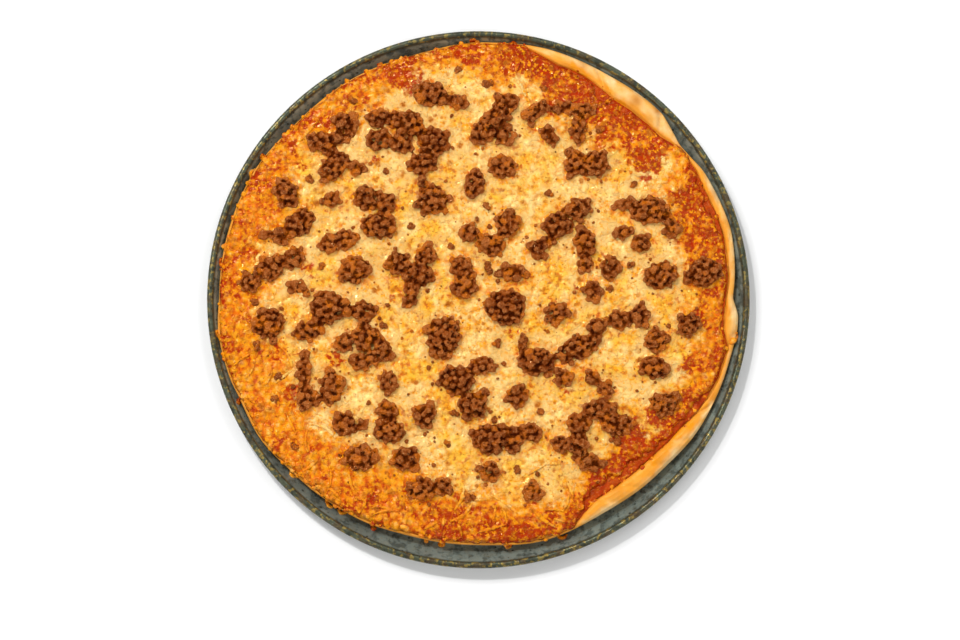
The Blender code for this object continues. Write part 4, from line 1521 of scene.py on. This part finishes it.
def on_open_cheese(x, y):
    """Tells whether a place lies on the cheese, inside its edge and clear of the meat."""
    inside = around(VISIBLE_LINE, math.atan2(y, x)) - math.hypot(x, y)
    return inside >= 2 * MM and sampled_at("near meat", x, y) >= 0.5 * MM


def make_strands(ground):
    """Flat tapered strands that lie on the cheese, most of them at the lower left."""
    draw = random.Random(31)
    balls = []
    for _ in range(STRANDS):
        at_left = draw.random() < 0.75
        angle = math.radians(draw.uniform(185, 300) if at_left else draw.uniform(0, 360))
        far = float(around(VISIBLE_LINE, angle)) - (4 + 42 * draw.random() ** 1.5) * MM
        x, y = far * math.cos(angle), far * math.sin(angle)
        turn, half = draw.uniform(0, 2 * math.pi), draw.uniform(4.0, 10.5) * MM
        width, curl = draw.uniform(1.3, 2.0) * MM, draw.uniform(-0.035, 0.035) / MM
        strand = []
        for share in np.linspace(-1, 1, int(half / (0.35 * width))):
            along, aside = share * half, curl * (share * half) ** 2
            px = x + along * math.cos(turn) - aside * math.sin(turn)
            py = y + along * math.sin(turn) + aside * math.cos(turn)
            strand.append((px, py, width * (1 - 0.45 * share * share) * draw.uniform(0.85, 1.1)))
        if all(on_open_cheese(a, b) for a, b, _size in strand):
            balls += [(a, b, ground.height(a, b) + 0.35 * MM, s, 0.6) for a, b, s in strand]
    points, faces = lumpy_balls(balls, 1, 0.15, 32)
    piece = mesh_object("cheese_shreds", points, faces)
    melt(piece, STRAND_VOXEL)
    mask_like_cheese(piece, 0.5, 0.6)
    return piece


def ball_on(ground, at, far, radius, lift, flatness):
    """A ball at this angle and distance on what lies there, with its foot over the floor."""
    x, y = far * math.cos(at), far * math.sin(at)
    return x, y, max(ground.height(x, y) + lift * radius, radius), radius, flatness


def edge_lumps(draw, ground):
    """Lumps along the edge of the cheese, most of them where the rim is thin."""
    balls = []
    for _ in range(EDGE_LUMPS):
        at = draw.uniform(0, 2 * math.pi)
        if draw.random() > mixed(0.2, 1.0, float(around(THIN_RIM, at))):
            continue
        far = float(around(VISIBLE_LINE, at)) - draw.uniform(-0.9, 3.5) * MM
        balls.append(ball_on(ground, at, far, draw.uniform(0.9, 2.4) * MM, -0.05, 0.6))
    return balls


def sauce_lumps(draw, ground):
    """Bits of cheese on the bare sauce."""
    balls = []
    for _ in range(SAUCE_LUMPS):
        at = draw.uniform(0, 2 * math.pi)
        line, end = float(around(VISIBLE_LINE, at)), float(around(SAUCE_LINE, at))
        if end - line < 2 * MM:
            continue
        far = mixed(line, end + 2.2 * MM, draw.random())
        radius = mixed(0.6, 2.6, draw.random() ** 1.5) * MM
        balls.append(ball_on(ground, at, far, radius, -0.1, 0.5))
    return balls


def drip_balls(draw, ground):
    """Balls along each drip, from the cheese over the edge of the crust and down."""
    balls = []
    for degrees, reach, _burnt in DRIPS:
        at = math.radians(degrees)
        start = float(around(CRUST_LINE, at)) - 2.0 * MM
        end = min(start + (2.0 + 0.6 * reach) * MM, DRIP_END)
        skew = draw.choice((-1, 1)) * draw.uniform(0.015, 0.04)
        for share in np.linspace(0, 1, DRIP_BALLS):
            far = mixed(start, end, math.sin(share * 2.4))
            turn = at + skew * share + draw.uniform(-0.003, 0.003)
            radius = mixed(2.0, 1.2, share) * draw.uniform(0.8, 1.2) * MM
            balls.append(ball_on(ground, turn, far, radius, 0.05, 0.7))
    return balls


def burnt_drips(x, y):
    """How burnt the drips are at these places."""
    angle, far = np.degrees(np.arctan2(y, x)) % 360, np.hypot(x, y)
    amount = np.zeros_like(x)
    for degrees, _reach, share in DRIPS:
        away = np.abs((angle - degrees + 180) % 360 - 180)
        edge = around(CRUST_LINE, np.radians(degrees))
        outside = smooth_step(-2 * MM, 2.5 * MM, far - edge)
        amount = np.maximum(amount, share * outside * (away < 2.5))
    return amount


def make_drips(ground):
    """Lumps along the edge of the cheese, bits of cheese on the sauce, and drips."""
    draw = random.Random(41)
    balls = edge_lumps(draw, ground) + sauce_lumps(draw, ground) + drip_balls(draw, ground)
    points, faces = lumpy_balls(balls, 2, 0.4, 42)
    piece = mesh_object("cheese_drips", points, faces)
    melt(piece, STRAND_VOXEL)
    roughen(piece.data, 0.15 * MM, 1.6 * MM)
    mask_like_cheese(piece, 0.85, 0.7, burnt_drips)
    return piece


class PIZZA_OT_shreds(bpy.types.Operator):
    """Lays strands of cheese on the pizza, and lumps and drips along its edge"""

    bl_idname = "pizza.shreds"
    bl_label = "Cheese shreds and drips"

    def execute(self, context):
        material = shared_material("melted cheese")
        finish_piece(make_strands(Ground("cheese_melt")), material, "melted_cheese")
        ground = Ground("cheese_melt", "sauce_layer", "crust_slab", "pan_shell")
        finish_piece(make_drips(ground), material, "melted_cheese")
        return {"FINISHED"}


# Pan: the pressed sheet and its rolled bead, turned finely

BEAD_RADIUS = 2.05 * MM
BEAD_HEIGHT = 11 * MM
# Between these radii the look changes from the wall's to the bead's
BEAD_START = 173.2 * MM, 174.2 * MM
WALL_START, WALL_END, WALL_RISE, WALL_CURVE = 162 * MM, 173.8 * MM, 9.5 * MM, 1.8
SHEET = 1.2 * MM
# How bright the clouds on the wall and the blots are, as a share of their steel
CLOUD_SHARE, BLOT_SHARE = 0.55, 0.22
# Rings on the flat floor, and the waves that use has left along the bead
FLOOR_RINGS = 40 * MM, 90 * MM, 130 * MM, 155 * MM
DENT_HEIGHT, DENT_SIZE = 0.12 * MM, 22 * MM


def pan_profile():
    """(radius, height) from the middle of the underside, round the bead, to that of the top."""
    outer, inner = [], []
    for share in np.linspace(0, 0.93, 12):
        radius = mixed(WALL_START, WALL_END, share)
        height = SHEET + WALL_RISE * share**WALL_CURVE
        slope = WALL_RISE * WALL_CURVE * share ** (WALL_CURVE - 1) / (WALL_END - WALL_START)
        along = math.hypot(slope, 1)
        inner.append((radius, height))
        outer.append((radius + SHEET * slope / along, height - SHEET / along))
    centre = CAD_HIGH.x - BEAD_RADIUS
    bead = []
    for degrees in np.linspace(-140, 190, 21):
        turn = math.radians(degrees)
        height = BEAD_HEIGHT + BEAD_RADIUS * math.sin(turn)
        bead.append((centre + BEAD_RADIUS * math.cos(turn), height))
    floor = [(radius, 0.0) for radius in FLOOR_RINGS]
    top = [(radius, SHEET) for radius in FLOOR_RINGS[::-1]]
    return [(0.0, 0.0)] + floor + outer + bead + inner[::-1] + top + [(0.0, SHEET)]


def make_pan(count):
    rings = [(count if radius else 1, radius, height) for radius, height in pan_profile()]
    piece = turned_piece("pan_shell", rings)
    for vertex in piece.data.vertices:
        x, y, _z = vertex.co
        if math.hypot(x, y) > WALL_END - 2 * MM:
            vertex.co.z += DENT_HEIGHT * noise.noise(Vector((x, y, 0)) / DENT_SIZE)
    return piece


def pan_material(settings):
    look = Look("dark seasoned steel", settings.wall)
    place = look.put("ShaderNodeSeparateXYZ", {0: look.here()}).outputs
    flat = look.put("ShaderNodeCombineXYZ", {"X": place[0], "Y": place[1]}).outputs[0]
    far = look.put("ShaderNodeVectorMath", {0: flat}, operation="LENGTH").outputs["Value"]
    bead = look.ramp(far, *BEAD_START)
    cloud = look.mottle(16 * MM, 5, 0.35, 0.68, seed=15)
    blot = look.mottle(4.5 * MM, 5, 0.46, 0.6, seed=16)
    fine = look.mottle(1.2 * MM, 3, 0.3, 0.7, seed=17)
    look.paint(cloud, tuple(c * CLOUD_SHARE for c in settings.wall))
    look.paint(bead, settings.steel)
    look.paint(blot, tuple(c * BLOT_SHARE for c in settings.steel), 0.7)
    specks = look.specks(3 * MM, 0.36, 0.4, seed=6)
    look.paint(look.uneven(specks, bead, 0.15, 0.85), settings.oil)
    rusty = look.mottle(7 * MM, 5, 0.5, 0.6, seed=19)
    look.paint(look.uneven(rusty, bead, 0.1, 0.55), settings.rust)
    crusted = look.mottle(3.2 * MM, 5, 0.53, 0.6, seed=18)
    look.paint(look.uneven(crusted, bead, 0.1, 0.7), settings.oil)
    dark = look.specks(3.8 * MM, 0.26, 0.45, seed=7)
    look.paint(dark, settings.soot, 0.8)
    pale = look.specks(6 * MM, 0.1, 0.5, seed=9)
    look.paint(pale, settings.worn, 0.5)
    look.give(look.inputs["Metallic"], 0.55)
    return look.finish(look.ramp(blot, 0, 1, 0.34, 0.6), fine, 0.2 * MM, 0.4)


class PIZZA_OT_pan(bpy.types.Operator):
    """Turns the dark steel pan"""

    bl_idname = "pizza.pan"
    bl_label = "Pan"

    def execute(self, context):
        settings = context.scene.pizza_pan
        piece = make_pan(settings.ring_points)
        finish_piece(piece, pan_material(settings), "pan_steel", "pan")
        return {"FINISHED"}


# Stage: floor, light and camera

PHOTO_WIDTH, PHOTO_HEIGHT = 960, 640
# How wide the pan is in the photograph, and where its middle is
PAN_PIXELS_WIDE = 543.0
PAN_PIXEL = (478.4, 297.4)
# The camera's sensor in millimetres, as Blender takes it
SENSOR = 36
# The floor's radius in metres, and the corners of its edge
FLOOR_REACH, FLOOR_POINTS = 4.0, 64
STUDIO_STRENGTH = 0.3
# Each lamp: name, width in metres, power in watts and place
LAMPS = (
    ("key", 1.0, 36, (-1.5, 1.6, 2.3)),
    ("sparkle", 0.2, 34, (-0.9, 1.3, 2.6)),
    ("right", 2.4, 28, (2.2, -1.4, 2.4)),
    ("front", 2.4, 26, (-2.0, -1.6, 2.2)),
    ("back", 2.4, 28, (1.6, 1.9, 2.2)),
)


def place_camera(settings):
    """A camera that shows the pan as large, and in the same place, as the photograph does."""
    camera = bpy.data.objects.new("camera", bpy.data.cameras.new("camera"))
    bpy.context.scene.collection.objects.link(camera)
    view_width = PHOTO_WIDTH * 2 * CAD_HIGH.x / PAN_PIXELS_WIDE
    camera.data.sensor_width = SENSOR
    camera.data.lens = SENSOR * settings.distance / view_width
    camera.data.clip_start, camera.data.clip_end = 0.05, 20
    a_pixel = view_width / PHOTO_WIDTH
    right = Vector((1, 0, 0))
    back = Vector((0, -math.cos(settings.elevation), math.sin(settings.elevation)))
    up = back.cross(right)
    target = Vector((0, 0, CAD_HIGH.z * 0.55))
    target -= right * (PAN_PIXEL[0] - PHOTO_WIDTH / 2) * a_pixel
    target -= up * (PHOTO_HEIGHT / 2 - PAN_PIXEL[1]) * a_pixel
    camera.location = target + back * settings.distance
    camera.rotation_euler = Matrix((right, up, back)).transposed().to_euler()
    bpy.context.scene.camera = camera


def add_lamp(name, size, power, place):
    """A round soft lamp that shines on the middle of the pan."""
    data = bpy.data.lights.new(name, "AREA")
    data.shape = "DISK"
    data.size = size
    data.energy = power
    light = bpy.data.objects.new(name, data)
    light.location = place
    light.rotation_euler = Vector(place).to_track_quat("Z", "Y").to_euler()
    bpy.context.scene.collection.objects.link(light)


def floor_material(settings):
    look = Look("pale floor", settings.floor)
    soft = look.mottle(400 * MM, 1, 0.2, 0.8, seed=20)
    look.paint(soft, tuple(c * 0.985 for c in settings.floor))
    look.give(look.inputs["Base Color"], look.colour)
    look.give(look.inputs["Roughness"], 0.9)
    look.give(look.inputs["Specular IOR Level"], 0.1)
    return look.material


class PIZZA_OT_stage(bpy.types.Operator):
    """Sets the pale floor, the studio light and the camera"""

    bl_idname = "pizza.stage"
    bl_label = "Stage"

    def execute(self, context):
        settings = context.scene.pizza_stage
        rings = [(1, 0.0, 0.0), (FLOOR_POINTS, FLOOR_REACH, 0.0)]
        faces = ring_faces([1, FLOOR_POINTS])
        floor = mesh_object("floor", ring_points(rings), faces, smooth=False)
        floor.data.materials.append(floor_material(settings))
        world = bpy.data.worlds.new("studio")
        world.use_nodes = True
        background = world.node_tree.nodes["Background"].inputs
        background["Color"].default_value = (1, 1, 1, 1)
        background["Strength"].default_value = STUDIO_STRENGTH
        context.scene.world = world
        for lamp in LAMPS:
            add_lamp(*lamp)
        context.scene.view_settings.view_transform = "Standard"
        place_camera(settings)
        return {"FINISHED"}


# The add-on's panel and its running order

GROUPS = {
    "pizza_pan": PIZZA_PG_pan,
    "pizza_crust": PIZZA_PG_crust,
    "pizza_sauce": PIZZA_PG_sauce,
    "pizza_cheese": PIZZA_PG_cheese,
    "pizza_meat": PIZZA_PG_meat,
    "pizza_stage": PIZZA_PG_stage,
}
OPERATORS = (
    PIZZA_OT_stage,
    PIZZA_OT_pan,
    PIZZA_OT_crust,
    PIZZA_OT_sauce,
    PIZZA_OT_cheese,
    PIZZA_OT_meat,
    PIZZA_OT_crumbs,
    PIZZA_OT_shreds,
)


class PIZZA_PT_panel(bpy.types.Panel):
    """Lists the settings and the pieces of the pizza"""

    bl_label = "Pan pizza"
    bl_idname = "PIZZA_PT_panel"
    bl_space_type = "VIEW_3D"
    bl_region_type = "UI"
    bl_category = "Pizza"

    def draw(self, context):
        for name, group in GROUPS.items():
            box = self.layout.box()
            box.label(text=name.replace("_", " ").capitalize())
            for key in group.__annotations__:
                box.prop(getattr(context.scene, name), key)
        for operator in OPERATORS:
            self.layout.operator(operator.bl_idname)


def register():
    for group in GROUPS.values():
        bpy.utils.register_class(group)
    for name, group in GROUPS.items():
        setattr(bpy.types.Scene, name, bpy.props.PointerProperty(type=group))
    for kind in (*OPERATORS, PIZZA_PT_panel):
        bpy.utils.register_class(kind)


def unregister():
    for kind in (PIZZA_PT_panel, *reversed(OPERATORS)):
        bpy.utils.unregister_class(kind)
    for name, group in GROUPS.items():
        delattr(bpy.types.Scene, name)
        bpy.utils.unregister_class(group)


def main():
    register()
    fill_fields()
    for operator in OPERATORS:
        group, name = operator.bl_idname.split(".")
        getattr(getattr(bpy.ops, group), name)()


if __name__ == "__main__":
    main()
